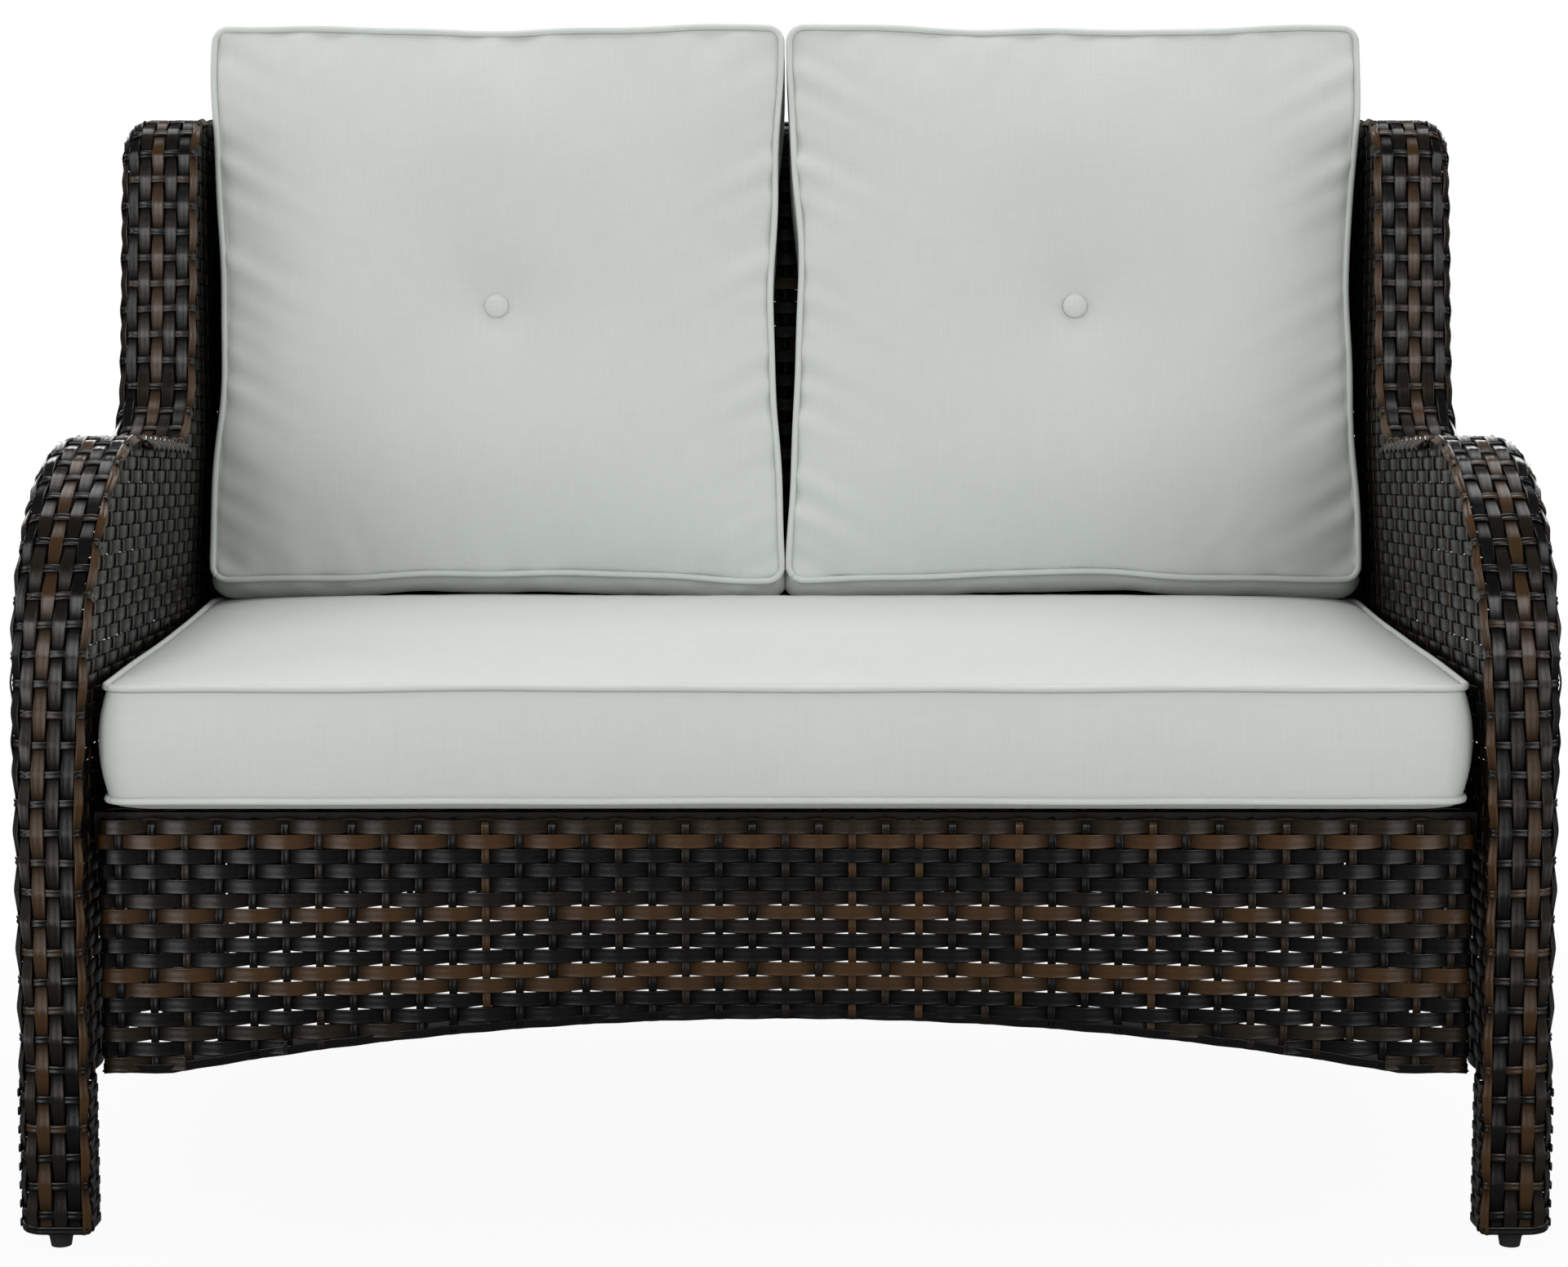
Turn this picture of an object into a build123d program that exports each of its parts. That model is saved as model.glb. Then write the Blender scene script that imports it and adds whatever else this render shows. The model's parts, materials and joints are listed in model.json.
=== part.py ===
from build123d import *
import os
from math import atan2, cos, degrees, radians, sin, sqrt, tan

os.makedirs("parts", exist_ok=True)

# Overall sizes of the loveseat. X runs to the right, Y to the back, Z up.
overall_width = 1286
overall_depth = 740
wing_height = 950
arm_height = 669
glide_height = 14
deck_height = 366
panel_bottom_height = 142

# Side outline: front leg, rolled arm, wing and rear leg.
arm_slope_angle = 5.5
arm_front_radius = 200
wing_depth = 270
wing_recline_angle = 9
wing_foot_radius = 72
wing_top_radius = 45
rear_top_radius = 45
rear_leg_inset = 40
rear_knee_height = 370
rear_knee_radius = 400

# Arm box and legs.
leg_width = 59
arm_box_width = 74
lean_end_height = 650
front_leg_depth = 45
rear_leg_depth = 50
leg_corner_radius = 8
weave_thickness = 3
edge_radius = 22
braid_diameter = 11
braid_sides = 8
fit_gap = 0.3

# Steel frame.
arm_tube_size = 18
arm_tube_wall = 1.5
tab_width = 16
tab_thickness = 3
ledger_height = 20
lower_rail_height = 16
band_joint_setback = 100
least_radius = 1
seat_tube_size = 25
back_tube_size = 20
arch_tube_size = 15
foot_plate_thickness = 3
cross_tube_count = 3

# Apron and back.
apron_setback = 35
apron_depth = 20
apron_end_gap = 6
apron_top_drop = 6
apron_arch_rise = 47
apron_flat_length = 60
back_depth = 144
back_front_angle = 7.2
back_cap_depth = 46
back_cap_radius = 20
apron_edge_radius = 6
strut_count = 4

# Bolts M6, with washers and nuts.
bolt_diameter = 6
bolt_clearance = 0.6
bolt_head_diameter = 12
bolt_head_thickness = 3.5
washer_diameter = 14
washer_thickness = 1.2
nut_diameter = 11.5
nut_thickness = 5
bolt_end_length = 2.5
nut_sides = 6

# Foot glides.
glide_top_diameter = 21
glide_bottom_diameter = 17
glide_flange_diameter = 26
glide_flange_thickness = 3
glide_stem_diameter = 8
glide_stem_length = 16

# Cushions.
seat_cushion_thickness = 98
seat_crown_height = 16
seat_bottom_rise = 10
seat_side_bulge = 6
seat_side_draw = 3
seat_cushion_gap = 13
seat_front_setback = 14
seat_rear_gap = 6
cushion_corner_radius = 34
back_cushion_height = 568
back_cushion_boxing = 84
back_crown_height = 34
back_rear_crown_height = 9
back_side_draw = 9
back_middle_gap = 5
back_side_gap = 3
piping_diameter = 6
piping_sides = 6
button_diameter = 21
button_thickness = 8
button_rise = 5
button_edge_radius = 2.7
tuft_diameter = 180
tuft_depth = 20
foam_margin = 26

y_front = -overall_depth / 2
y_rear = overall_depth / 2
y_leg_rear = y_rear - rear_leg_inset
x_outer = overall_width / 2
x_leg_inner = x_outer - leg_width
x_arm_inner = x_outer - arm_box_width
skin = weave_thickness
lined = weave_thickness + fit_gap
tube_inset = edge_radius - (edge_radius - lined) / sqrt(2)
tube_depth = tube_inset + arm_tube_size
x_tube_inner = x_leg_inner + lined
x_tube_outer = x_outer - tube_inset
deck_under = deck_height - skin
seat_tube_top = deck_under - fit_gap
seat_tube_middle = seat_tube_top - seat_tube_size / 2
y_apron = y_front + apron_setback
y_apron_back = y_apron + apron_depth
x_apron = x_leg_inner - apron_end_gap
apron_top = deck_height - apron_top_drop
y_back = y_rear - back_depth
y_wing = y_rear - wing_depth
lean = radians(back_front_angle)
cap_bottom = wing_height - back_cap_depth
bolt_hole_radius = (bolt_diameter + bolt_clearance) / 2


def save(part, name):
    part.label = name
    export_step(part, "parts/" + name + ".step")


def save_pair(part, name):
    """Writes a piece of the right side, and its mirror image for the left."""
    save(part, "right_" + name)
    save(mirror(part, about=Plane.YZ), "left_" + name)


def save_both(part, name):
    """Writes a group of pieces with its mirror image as one node."""
    with BuildPart() as group:
        add(part)
        add(mirror(part, about=Plane.YZ))
    save(group.part, name)


def meet(first, second):
    """Crossing point of two lines, each given as a point and a heading in degrees."""
    (ay, az, a), (by, bz, b) = first, second
    ca, sa, cb, sb = cos(radians(a)), sin(radians(a)), cos(radians(b)), sin(radians(b))
    run = ((by - ay) * sb - (bz - az) * cb) / (ca * sb - sa * cb)
    return ay + run * ca, az + run * sa


def side_lines(inset):
    """The side outline's six straight lines, moved into the arm by the inset."""
    slope, recline = radians(arm_slope_angle), radians(wing_recline_angle)
    corner = arm_height - arm_front_radius * (1 - tan(radians(45) + slope / 2))
    wing_z = corner - (y_wing - y_front) * tan(slope)
    rear = atan2(wing_height - rear_knee_height, rear_leg_inset)
    return [
        (y_front + inset, 0, 90),
        (y_front - inset * sin(slope), corner - inset * cos(slope), -arm_slope_angle),
        (y_wing + inset * cos(recline), wing_z - inset * sin(recline), 90 - wing_recline_angle),
        (0, wing_height - inset, 0),
        (y_rear - inset * sin(rear), wing_height + inset * cos(rear), degrees(rear)),
        (y_leg_rear - inset, 0, 90),
    ]


def side_corners(inset, bottom):
    lines = side_lines(inset)
    crossings = [meet(a, b) for a, b in zip(lines, lines[1:])]
    return [(lines[0][0], bottom), *crossings, (lines[-1][0], bottom)]


def side_radii(inset):
    radii = (
        arm_front_radius - inset,
        wing_foot_radius + inset,
        wing_top_radius - inset,
        rear_top_radius - inset,
        rear_knee_radius + inset,
    )
    return [max(radius, least_radius) for radius in radii]


def side_face(inset, bottom):
    """The side outline as a filled face, closed along its bottom."""
    corners = side_corners(inset, bottom)
    with BuildSketch() as face:
        with BuildLine():
            FilletPolyline(*corners, radius=side_radii(inset))
            Line(corners[-1], corners[0])
        make_face()
    return face.sketch_local


def inner_x(height):
    """Where the arm's inner face stands at a height: upright below the deck, leaning in above."""
    share = (height - deck_height) / (lean_end_height - deck_height)
    return x_leg_inner - (x_leg_inner - x_arm_inner) * min(max(share, 0), 1)


def inner_strip(near, far, bottom, top):
    """The face between two offsets from the arm's inner face, seen from the front."""
    levels = (bottom, deck_height, lean_end_height, top)
    near_side = [(inner_x(z) + near, z) for z in levels]
    far_side = [(inner_x(z) + far, z) for z in reversed(levels)]
    with BuildSketch() as face:
        with BuildLine():
            Polyline(*near_side, *far_side, close=True)
        make_face()
    return face.sketch_local


def band_section(inner):
    """The band's hooked section: flat across the arm, rolled over its outer edge."""
    centre = x_outer - edge_radius
    with BuildSketch() as face:
        with BuildLine():
            Polyline((centre, 0), (inner, 0), (inner, skin), (centre, skin))
            CenterArc((centre, edge_radius), edge_radius - skin, -90, 90)
            Line((x_outer - skin, edge_radius), (x_outer, edge_radius))
            CenterArc((centre, edge_radius), edge_radius, -90, 90)
        make_face()
    return face.sketch_local


def make_band(corners, radii):
    with BuildPart() as band:
        with BuildLine(Plane.YZ) as route:
            FilletPolyline(*corners, radius=radii)
        start = Plane(origin=route.line @ 0, x_dir=(1, 0, 0), z_dir=route.line % 0)
        with BuildSketch(start):
            add(band_section(x_arm_inner))
        sweep(path=route.line)
        with BuildSketch(Plane.XZ):
            add(inner_strip(-overall_width, 0, 0, wing_height + edge_radius))
        extrude(amount=overall_depth, both=True, mode=Mode.SUBTRACT)
    return band.part


outline = side_corners(0, glide_height)
outline_radii = side_radii(0)
band_joint = (y_rear - band_joint_setback, wing_height)
save_pair(make_band([*outline[:4], band_joint], outline_radii[:3]), "arm_band")
save_pair(make_band([band_joint, *outline[4:]], outline_radii[3:]), "rear_band")

with BuildPart() as outer_panel:
    with BuildSketch(Plane.YZ.offset(x_outer - skin)):
        add(side_face(edge_radius + fit_gap, panel_bottom_height))
    extrude(amount=skin)
save_pair(outer_panel.part, "outer_panel")

seat_bolt_shares = (0.22, 0.88)
seat_rail_front = y_apron_back + fit_gap + seat_tube_size + fit_gap
seat_rail_rear = y_leg_rear - lined - seat_tube_size - fit_gap
seat_rail_run = seat_rail_rear - seat_rail_front
seat_bolts = [(seat_rail_front + seat_rail_run * s, seat_tube_middle) for s in seat_bolt_shares]


def lean_point(back, up):
    """Side view place of a point behind the back's front face and up along it."""
    y = y_back + back * cos(lean) + up * sin(lean)
    return y, deck_height + up * cos(lean) - back * sin(lean)


back_bolt_shares = (0.13, 0.73)
post_bottom = (lean_end_height + arm_tube_size - deck_height) / cos(lean)
post_top = (wing_height - 2 * lined - deck_height) / cos(lean)
post_run = post_top - post_bottom
post_middle = lined + back_tube_size / 2
back_bolts = [lean_point(post_middle, post_bottom + post_run * s) for s in back_bolt_shares]
bolt_places = seat_bolts + back_bolts

with BuildPart() as inner_panel:
    with BuildSketch(Plane.XZ):
        add(inner_strip(0, skin, panel_bottom_height, wing_height))
    extrude(amount=overall_depth, both=True)
    with BuildSketch(Plane.YZ):
        add(side_face(lined, panel_bottom_height))
    extrude(amount=overall_width, mode=Mode.INTERSECT)
    with BuildSketch(Plane.YZ):
        with Locations(*bolt_places):
            Circle(bolt_hole_radius)
    extrude(amount=overall_width, mode=Mode.SUBTRACT)
save_pair(inner_panel.part, "inner_panel")


def leg_sleeve(y_band, y_far, way):
    """The weave round a leg's inner, far and outer faces, from the band's edges."""
    inward, side = (1, Side.RIGHT) if way > 0 else (-1, Side.LEFT)
    route = [
        (x_leg_inner, y_band + inward * lined),
        (x_leg_inner, y_far),
        (x_outer, y_far),
        (x_outer, y_band + inward * (edge_radius + fit_gap)),
    ]
    with BuildPart() as sleeve:
        with BuildSketch(Plane.XY.offset(glide_height)):
            with BuildLine():
                FilletPolyline(*route, radius=leg_corner_radius)
                offset(amount=skin, side=side, closed=True)
            make_face()
        extrude(amount=panel_bottom_height - glide_height - fit_gap)
    return sleeve.part


y_leg_back = y_front + front_leg_depth
y_leg_fore = y_leg_rear - rear_leg_depth
save_pair(leg_sleeve(y_front, y_leg_back, 1), "front_leg_sleeve")
save_pair(leg_sleeve(y_leg_rear, y_leg_fore, -1), "rear_leg_sleeve")

# Arm frames: one flat tube bent to the side outline, with a ledger and a lower rail across it.
tube_bottom = glide_height + foot_plate_thickness
tube_middle = tube_inset + arm_tube_size / 2
y_tube_front = y_front + tube_depth + fit_gap
y_tube_rear = y_leg_rear - tube_depth - fit_gap
wall = arm_tube_wall


def tube_section(x_low, x_high, height):
    """A rectangular tube's section between two places in X, centred on its route."""
    middle, width = (x_low + x_high) / 2, x_high - x_low
    with BuildSketch() as face:
        with Locations((middle, 0)):
            Rectangle(width, height)
            Rectangle(width - 2 * wall, height - 2 * wall, mode=Mode.SUBTRACT)
    return face.sketch_local


with BuildPart() as arm_tube:
    with BuildLine(Plane.YZ) as tube_route:
        FilletPolyline(*side_corners(tube_middle, tube_bottom), radius=side_radii(tube_middle))
    tube_start = Plane(tube_route.line @ 0, x_dir=(1, 0, 0), z_dir=tube_route.line % 0)
    with BuildSketch(tube_start):
        add(tube_section(x_tube_inner, x_tube_outer, arm_tube_size))
    sweep(path=tube_route.line)
save_pair(arm_tube.part, "arm_tube")


def cross_rail(x_low, x_high, y_low, y_high, z_middle, height):
    """A rectangular tube lying from front to back."""
    with BuildPart() as rail:
        with BuildSketch(Plane.XZ.offset(-y_high)):
            with Locations((0, z_middle)):
                add(tube_section(x_low, x_high, height))
        extrude(amount=y_high - y_low)
    return rail.part


lower_rail_middle = panel_bottom_height + lower_rail_height / 2
lower_rail_ends = (x_leg_inner + lined, x_outer - lined, y_tube_front, y_tube_rear)
save_pair(cross_rail(*lower_rail_ends, lower_rail_middle, lower_rail_height), "lower_rail")

ledger_bar = cross_rail(*lower_rail_ends, seat_tube_middle, ledger_height)
with BuildPart() as ledger:
    add(ledger_bar)
    with BuildSketch(Plane.YZ.offset(x_leg_inner)):
        with Locations(*seat_bolts):
            Circle(bolt_hole_radius)
    extrude(amount=lined + wall + fit_gap, mode=Mode.SUBTRACT)
save_pair(ledger.part, "seat_ledger")

# Steel tabs reach from the bent tube to the leaning inner panel.
tab_shares = (0.31, 0.365, 0.48, 0.53, 0.63, 0.68)
with BuildPart() as panel_tabs:
    for share in tab_shares:
        spot = tube_route.line @ share
        reach_x = inner_x(spot.Z - tab_width) + lined
        tab_plane = Plane(spot, x_dir=(1, 0, 0), z_dir=tube_route.line % share)
        with BuildSketch(tab_plane):
            with Locations(((reach_x + x_tube_inner) / 2, 0)):
                Rectangle(x_tube_inner - reach_x - fit_gap, tab_thickness)
        extrude(amount=tab_width / 2, both=True)
save_both(panel_tabs.part, "panel_tabs")

lean_plane = Plane((0, y_back, deck_height), x_dir=(1, 0, 0), z_dir=(0, sin(lean), cos(lean)))
post_low_x = x_arm_inner + lined
post_high_x = x_tube_inner - fit_gap
with BuildPart() as wing_post:
    with BuildSketch(lean_plane.offset(post_bottom)):
        with Locations(((post_low_x + post_high_x) / 2, post_middle)):
            Rectangle(post_high_x - post_low_x, back_tube_size)
    extrude(amount=post_run)
    with BuildSketch(Plane.YZ):
        with Locations(*back_bolts):
            Circle(bolt_hole_radius)
    extrude(amount=overall_width, mode=Mode.SUBTRACT)
save_both(wing_post.part, "wing_posts")

# Foot plates close the bent tube's ends, and the glides screw into them.
foot_x = (x_tube_inner + x_tube_outer) / 2
foot_ys = {"front": y_front + tube_middle, "rear": y_leg_rear - tube_middle}
stem_hole_radius = glide_stem_diameter / 2 + fit_gap
with BuildPart() as foot_plates:
    with BuildSketch(Plane.XY.offset(glide_height)):
        with Locations(*[(foot_x, foot_y) for foot_y in foot_ys.values()]):
            Rectangle(x_tube_outer - x_tube_inner, arm_tube_size)
            Circle(stem_hole_radius, mode=Mode.SUBTRACT)
    extrude(amount=foot_plate_thickness)
save_both(foot_plates.part, "foot_plates")
for end, foot_y in foot_ys.items():
    with BuildPart() as glide:
        with BuildSketch(Plane.XZ.offset(-foot_y)):
            with BuildLine():
                Polyline(
                    (foot_x, 0),
                    (foot_x + glide_bottom_diameter / 2, 0),
                    (foot_x + glide_top_diameter / 2, glide_height - glide_flange_thickness),
                    (foot_x + glide_flange_diameter / 2, glide_height - glide_flange_thickness),
                    (foot_x + glide_flange_diameter / 2, glide_height),
                    (foot_x + glide_stem_diameter / 2, glide_height),
                    (foot_x + glide_stem_diameter / 2, glide_height + glide_stem_length),
                    (foot_x, glide_height + glide_stem_length),
                    close=True,
                )
            make_face()
        revolve(axis=Axis((foot_x, foot_y, 0), (0, 0, 1)))
    save_pair(glide.part, end + "_foot_glide")


def x_tube(y_low, y_high, z_low, z_high, half_length, plane_wall):
    """A square tube lying across the seat."""
    depth, height = y_high - y_low, z_high - z_low
    with BuildPart() as tube:
        with BuildSketch(Plane.YZ):
            with Locations(((y_low + y_high) / 2, (z_low + z_high) / 2)):
                Rectangle(depth, height)
                Rectangle(depth - 2 * plane_wall, height - 2 * plane_wall, mode=Mode.SUBTRACT)
        extrude(amount=half_length, both=True)
    return tube.part


# Seat frame under the woven deck.
x_rail_end = x_leg_inner - fit_gap
seat_tube_bottom = seat_tube_top - seat_tube_size
y_front_rail = y_apron_back + fit_gap
y_rear_rail = y_leg_rear - lined
front_rail_ends = (y_front_rail, y_front_rail + seat_tube_size)
rear_rail_ends = (y_rear_rail - seat_tube_size, y_rear_rail)
for end, (y_low, y_high) in {"front": front_rail_ends, "rear": rear_rail_ends}.items():
    rail = x_tube(y_low, y_high, seat_tube_bottom, seat_tube_top, x_rail_end, wall)
    save(rail, "seat_" + end + "_rail")

side_rail_ends = (x_rail_end - seat_tube_size, x_rail_end, seat_rail_front, seat_rail_rear)
side_rail_bar = cross_rail(*side_rail_ends, seat_tube_middle, seat_tube_size)
with BuildPart() as side_rail:
    add(side_rail_bar)
    with BuildSketch(Plane.YZ):
        with Locations(*seat_bolts):
            Circle(bolt_hole_radius)
    extrude(amount=overall_width, mode=Mode.SUBTRACT)
save_pair(side_rail.part, "seat_side_rail")

cross_pitch = 2 * x_rail_end / (cross_tube_count + 1)
for index in range(cross_tube_count):
    x_middle = (index - (cross_tube_count - 1) / 2) * cross_pitch
    x_ends = (x_middle - seat_tube_size / 2, x_middle + seat_tube_size / 2)
    cross_tube = cross_rail(*x_ends, seat_rail_front, seat_rail_rear, seat_tube_middle, seat_tube_size)
    save(cross_tube, "seat_cross_tube_" + str(index + 1))

with BuildPart() as seat_deck:
    y_deck_rear = y_leg_rear - lined
    with BuildSketch(Plane.XY.offset(deck_under)):
        with Locations((0, (y_apron_back + fit_gap + y_deck_rear) / 2)):
            Rectangle(2 * x_rail_end, y_deck_rear - y_apron_back - fit_gap)
    extrude(amount=skin)
save(seat_deck.part, "seat_deck")

# Front apron: a shallow woven tray with an arched lower edge, stretched over a bent tube.
x_arch = x_apron - apron_flat_length


def apron_face(margin, bottom_lift, top):
    """The apron seen from the front, between its arched lower edge and a level top."""
    low, end = panel_bottom_height + bottom_lift, x_apron - margin
    with BuildSketch() as face:
        with BuildLine():
            ThreePointArc((-x_arch, low), (0, low + apron_arch_rise), (x_arch, low))
            Polyline((x_arch, low), (end, low), (end, top), (-end, top), (-end, low), (-x_arch, low))
        make_face()
    return face.sketch_local


with BuildPart() as front_apron:
    with BuildSketch(Plane.XZ.offset(-y_apron_back)):
        add(apron_face(0, 0, apron_top))
    extrude(amount=apron_depth)
    fillet(front_apron.faces().sort_by(Axis.Y)[0].edges(), radius=apron_edge_radius)
    with BuildSketch(Plane.XZ.offset(-y_apron_back)):
        add(apron_face(skin, skin, apron_top - skin))
    extrude(amount=apron_depth - skin, mode=Mode.SUBTRACT)
save(front_apron.part, "front_apron")


def arch_strip(low_lift, high_lift, end_margin):
    """The bent tube's face between two heights over the apron's lower edge."""
    low, high = panel_bottom_height + low_lift, panel_bottom_height + high_lift
    end = x_apron - end_margin
    with BuildSketch() as face:
        with BuildLine():
            ThreePointArc((-x_arch, low), (0, low + apron_arch_rise), (x_arch, low))
            Polyline((x_arch, low), (end, low), (end, high), (x_arch, high))
            ThreePointArc((x_arch, high), (0, high + apron_arch_rise), (-x_arch, high))
            Polyline((-x_arch, high), (-end, high), (-end, low), (-x_arch, low))
        make_face()
    return face.sketch_local


y_arch_tube_back = y_apron + lined + arch_tube_size
with BuildPart() as arch_tube:
    with BuildSketch(Plane.XZ.offset(-y_arch_tube_back)):
        add(arch_strip(lined, lined + arch_tube_size, lined))
    extrude(amount=arch_tube_size)
    with BuildSketch(Plane.XZ.offset(wall - y_arch_tube_back)):
        add(arch_strip(lined + wall, lined + arch_tube_size - wall, lined))
    extrude(amount=arch_tube_size - 2 * wall, mode=Mode.SUBTRACT)
save(arch_tube.part, "apron_arch_tube")

strut_reach = x_apron - lined - arch_tube_size / 2
strut_pitch = 2 * strut_reach / (strut_count - 1)
strut_top = apron_top - lined
arch_radius = (x_arch**2 + apron_arch_rise**2) / (2 * apron_arch_rise)


def arch_lift(x):
    """How far the apron's lower edge has risen at a distance from the middle."""
    if abs(x) >= x_arch:
        return 0
    return apron_arch_rise - arch_radius + sqrt(arch_radius**2 - x**2)


with BuildPart() as apron_struts:
    for index in range(strut_count):
        x_strut = -strut_reach + index * strut_pitch
        inner_edge = max(abs(x_strut) - arch_tube_size / 2, 0)
        foot = panel_bottom_height + arch_lift(inner_edge) + lined + arch_tube_size + fit_gap
        with BuildSketch(Plane.XY.offset(foot)):
            with Locations((x_strut, (y_apron + lined + y_apron_back) / 2)):
                Rectangle(arch_tube_size, y_apron_back - y_apron - lined)
        extrude(amount=strut_top - foot)
save(apron_struts.part, "apron_struts")

# Back: woven front and rear panels over a frame of square tubes, and a rounded cap.


def between_arms(solid_extent):
    """The space between the two arms, less the fit gap, as a front view face."""
    levels = (0, deck_height, lean_end_height, solid_extent)
    right = [(inner_x(z) - fit_gap, z) for z in levels]
    left = [(-x, z) for x, z in reversed(right)]
    with BuildSketch() as face:
        with BuildLine():
            Polyline(*right, *left, close=True)
        make_face()
    return face.sketch_local


def room_between(part_depth):
    """The room between the arms, as a solid."""
    with BuildPart() as room:
        with BuildSketch(Plane.XZ):
            add(between_arms(wing_height))
        extrude(amount=part_depth, both=True)
    return room.part


room = room_between(overall_depth)
panel_run = (cap_bottom - fit_gap - deck_height) / cos(lean)
panel_foot = (fit_gap + skin * sin(lean)) / cos(lean)
with BuildPart() as back_panel:
    with BuildSketch(lean_plane.offset(panel_foot)):
        with Locations((0, skin / 2)):
            Rectangle(overall_width, skin)
    extrude(amount=panel_run - panel_foot)
    add(room, mode=Mode.INTERSECT)
save(back_panel.part, "back_front_panel")

with BuildPart() as rear_panel:
    with BuildSketch(Plane.YZ):
        add(side_face(0, panel_bottom_height))
        add(side_face(skin, panel_bottom_height), mode=Mode.SUBTRACT)
        with Locations((y_back, panel_bottom_height)):
            Rectangle(
                overall_depth,
                cap_bottom - fit_gap - panel_bottom_height,
                align=(Align.MIN, Align.MIN),
                mode=Mode.INTERSECT,
            )
    extrude(amount=overall_width, both=True)
    add(room, mode=Mode.INTERSECT)
save(rear_panel.part, "back_rear_panel")

rear_line = side_lines(0)[-2]
front_line = (y_back, deck_height, 90 - back_front_angle)
cap_route = [
    meet(front_line, (0, cap_bottom, 0)),
    meet(front_line, (0, wing_height, 0)),
    meet(rear_line, (0, wing_height, 0)),
    meet(rear_line, (0, cap_bottom, 0)),
]
with BuildPart() as back_cap:
    with BuildSketch(Plane.YZ):
        with BuildLine():
            FilletPolyline(*cap_route, radius=back_cap_radius)
            offset(amount=skin, side=Side.RIGHT, closed=True)
        make_face()
    extrude(amount=x_arm_inner - fit_gap, both=True)
save(back_cap.part, "back_cap")

# The back frame's tubes stand on the deck against the front panel.
x_back_end = x_arm_inner - fit_gap
tube_back = lined + back_tube_size
bottom_tube_foot = (fit_gap + tube_back * sin(lean)) / cos(lean)
top_tube_head = (wing_height - deck_height - back_cap_radius - fit_gap) / cos(lean)
for end, foot in {"bottom": bottom_tube_foot, "top": top_tube_head - back_tube_size}.items():
    with BuildPart() as across:
        with BuildSketch(lean_plane.offset(foot)):
            with Locations((0, lined + back_tube_size / 2)):
                Rectangle(2 * x_back_end, back_tube_size)
        extrude(amount=back_tube_size)
        hollow = lean_point(lined + back_tube_size / 2, foot + back_tube_size / 2)
        with BuildSketch(Plane.YZ):
            with Locations(Location(hollow, -back_front_angle)):
                Rectangle(back_tube_size - 2 * wall, back_tube_size - 2 * wall)
        extrude(amount=x_back_end, both=True, mode=Mode.SUBTRACT)
    save(across.part, "back_" + end + "_tube")

upright_foot = bottom_tube_foot + back_tube_size + fit_gap
upright_head = top_tube_head - back_tube_size - fit_gap
upright_reach = x_back_end - back_tube_size / 2
for name, x_middle in {"left": -upright_reach, "centre": 0, "right": upright_reach}.items():
    with BuildPart() as upright:
        with BuildSketch(lean_plane.offset(upright_foot)):
            with Locations((x_middle, lined + back_tube_size / 2)):
                Rectangle(back_tube_size, back_tube_size)
                Rectangle(back_tube_size - 2 * wall, back_tube_size - 2 * wall, mode=Mode.SUBTRACT)
        extrude(amount=upright_head - upright_foot)
        if x_middle:
            with BuildSketch(Plane.YZ):
                with Locations(*back_bolts):
                    Circle(bolt_hole_radius)
            extrude(amount=overall_width, both=True, mode=Mode.SUBTRACT)
    save(upright.part, "back_" + name + "_upright")

# Bolts run outwards through the seat rails and the back's uprights into the arm boxes.
seat_bolt_start = x_rail_end - seat_tube_size - fit_gap
back_bolt_start = x_back_end - back_tube_size - fit_gap
seat_nut_start = x_leg_inner + lined + wall + fit_gap
back_nut_start = post_high_x + fit_gap
bolt_runs = [(place, seat_bolt_start, seat_nut_start) for place in seat_bolts]
bolt_runs += [(place, back_bolt_start, back_nut_start) for place in back_bolts]


def ring_or_rod(start, length, outer, inner, place):
    """A ring or a rod along X, from a place in the side view."""
    with BuildPart() as ring:
        with BuildSketch(Plane.YZ.offset(start)):
            with Locations(place):
                Circle(outer / 2)
                if inner:
                    Circle(inner / 2, mode=Mode.SUBTRACT)
        extrude(amount=length)
    return ring.part


bore = bolt_diameter + bolt_clearance
bolt_rods = []
washer_rings = []
for place, start, nut_start in bolt_runs:
    head_start = start - washer_thickness - fit_gap - bolt_head_thickness
    shank_end = nut_start + nut_thickness + bolt_end_length
    bolt_rods += [
        ring_or_rod(head_start, bolt_head_thickness, bolt_head_diameter, 0, place),
        ring_or_rod(head_start, shank_end - head_start, bolt_diameter, 0, place),
    ]
    ring = ring_or_rod(start - washer_thickness, washer_thickness, washer_diameter, bore, place)
    washer_rings.append(ring)
for name, solids in {"frame_bolts": bolt_rods, "frame_washers": washer_rings}.items():
    with BuildPart() as fastener_group:
        add(solids)
    save_both(fastener_group.part, name)
with BuildPart() as nuts:
    for place, start, nut_start in bolt_runs:
        with BuildSketch(Plane.YZ.offset(nut_start)):
            with Locations(place):
                RegularPolygon(nut_diameter / 2, nut_sides)
                Circle(bore / 2, mode=Mode.SUBTRACT)
        extrude(amount=nut_thickness)
save_both(nuts.part, "frame_nuts")

# The braid lies along the arm's inner top edge, from the shoulder to the foot of the wing.
braid_depth = braid_diameter / 2 + skin
braid_corners = side_corners(braid_depth, 0)
shoulder_turn = radians(90 + arm_slope_angle)
foot_turn = radians(90 - wing_recline_angle + arm_slope_angle)
shoulder_length = (arm_front_radius - braid_depth) * tan(shoulder_turn / 2)
braid_run = Vector(*braid_corners[2]) - Vector(*braid_corners[1])
braid_start = Vector(*braid_corners[1]) + braid_run.normalized() * shoulder_length
foot_length = (wing_foot_radius + braid_depth) * tan(foot_turn / 2)
braid_end = Vector(*braid_corners[2]) - braid_run.normalized() * foot_length
braid_gap = fit_gap + braid_diameter / 2
braid_low, braid_high = [
    Vector(inner_x(end.Y) - braid_gap, end.X, end.Y) for end in (braid_start, braid_end)
]
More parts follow.
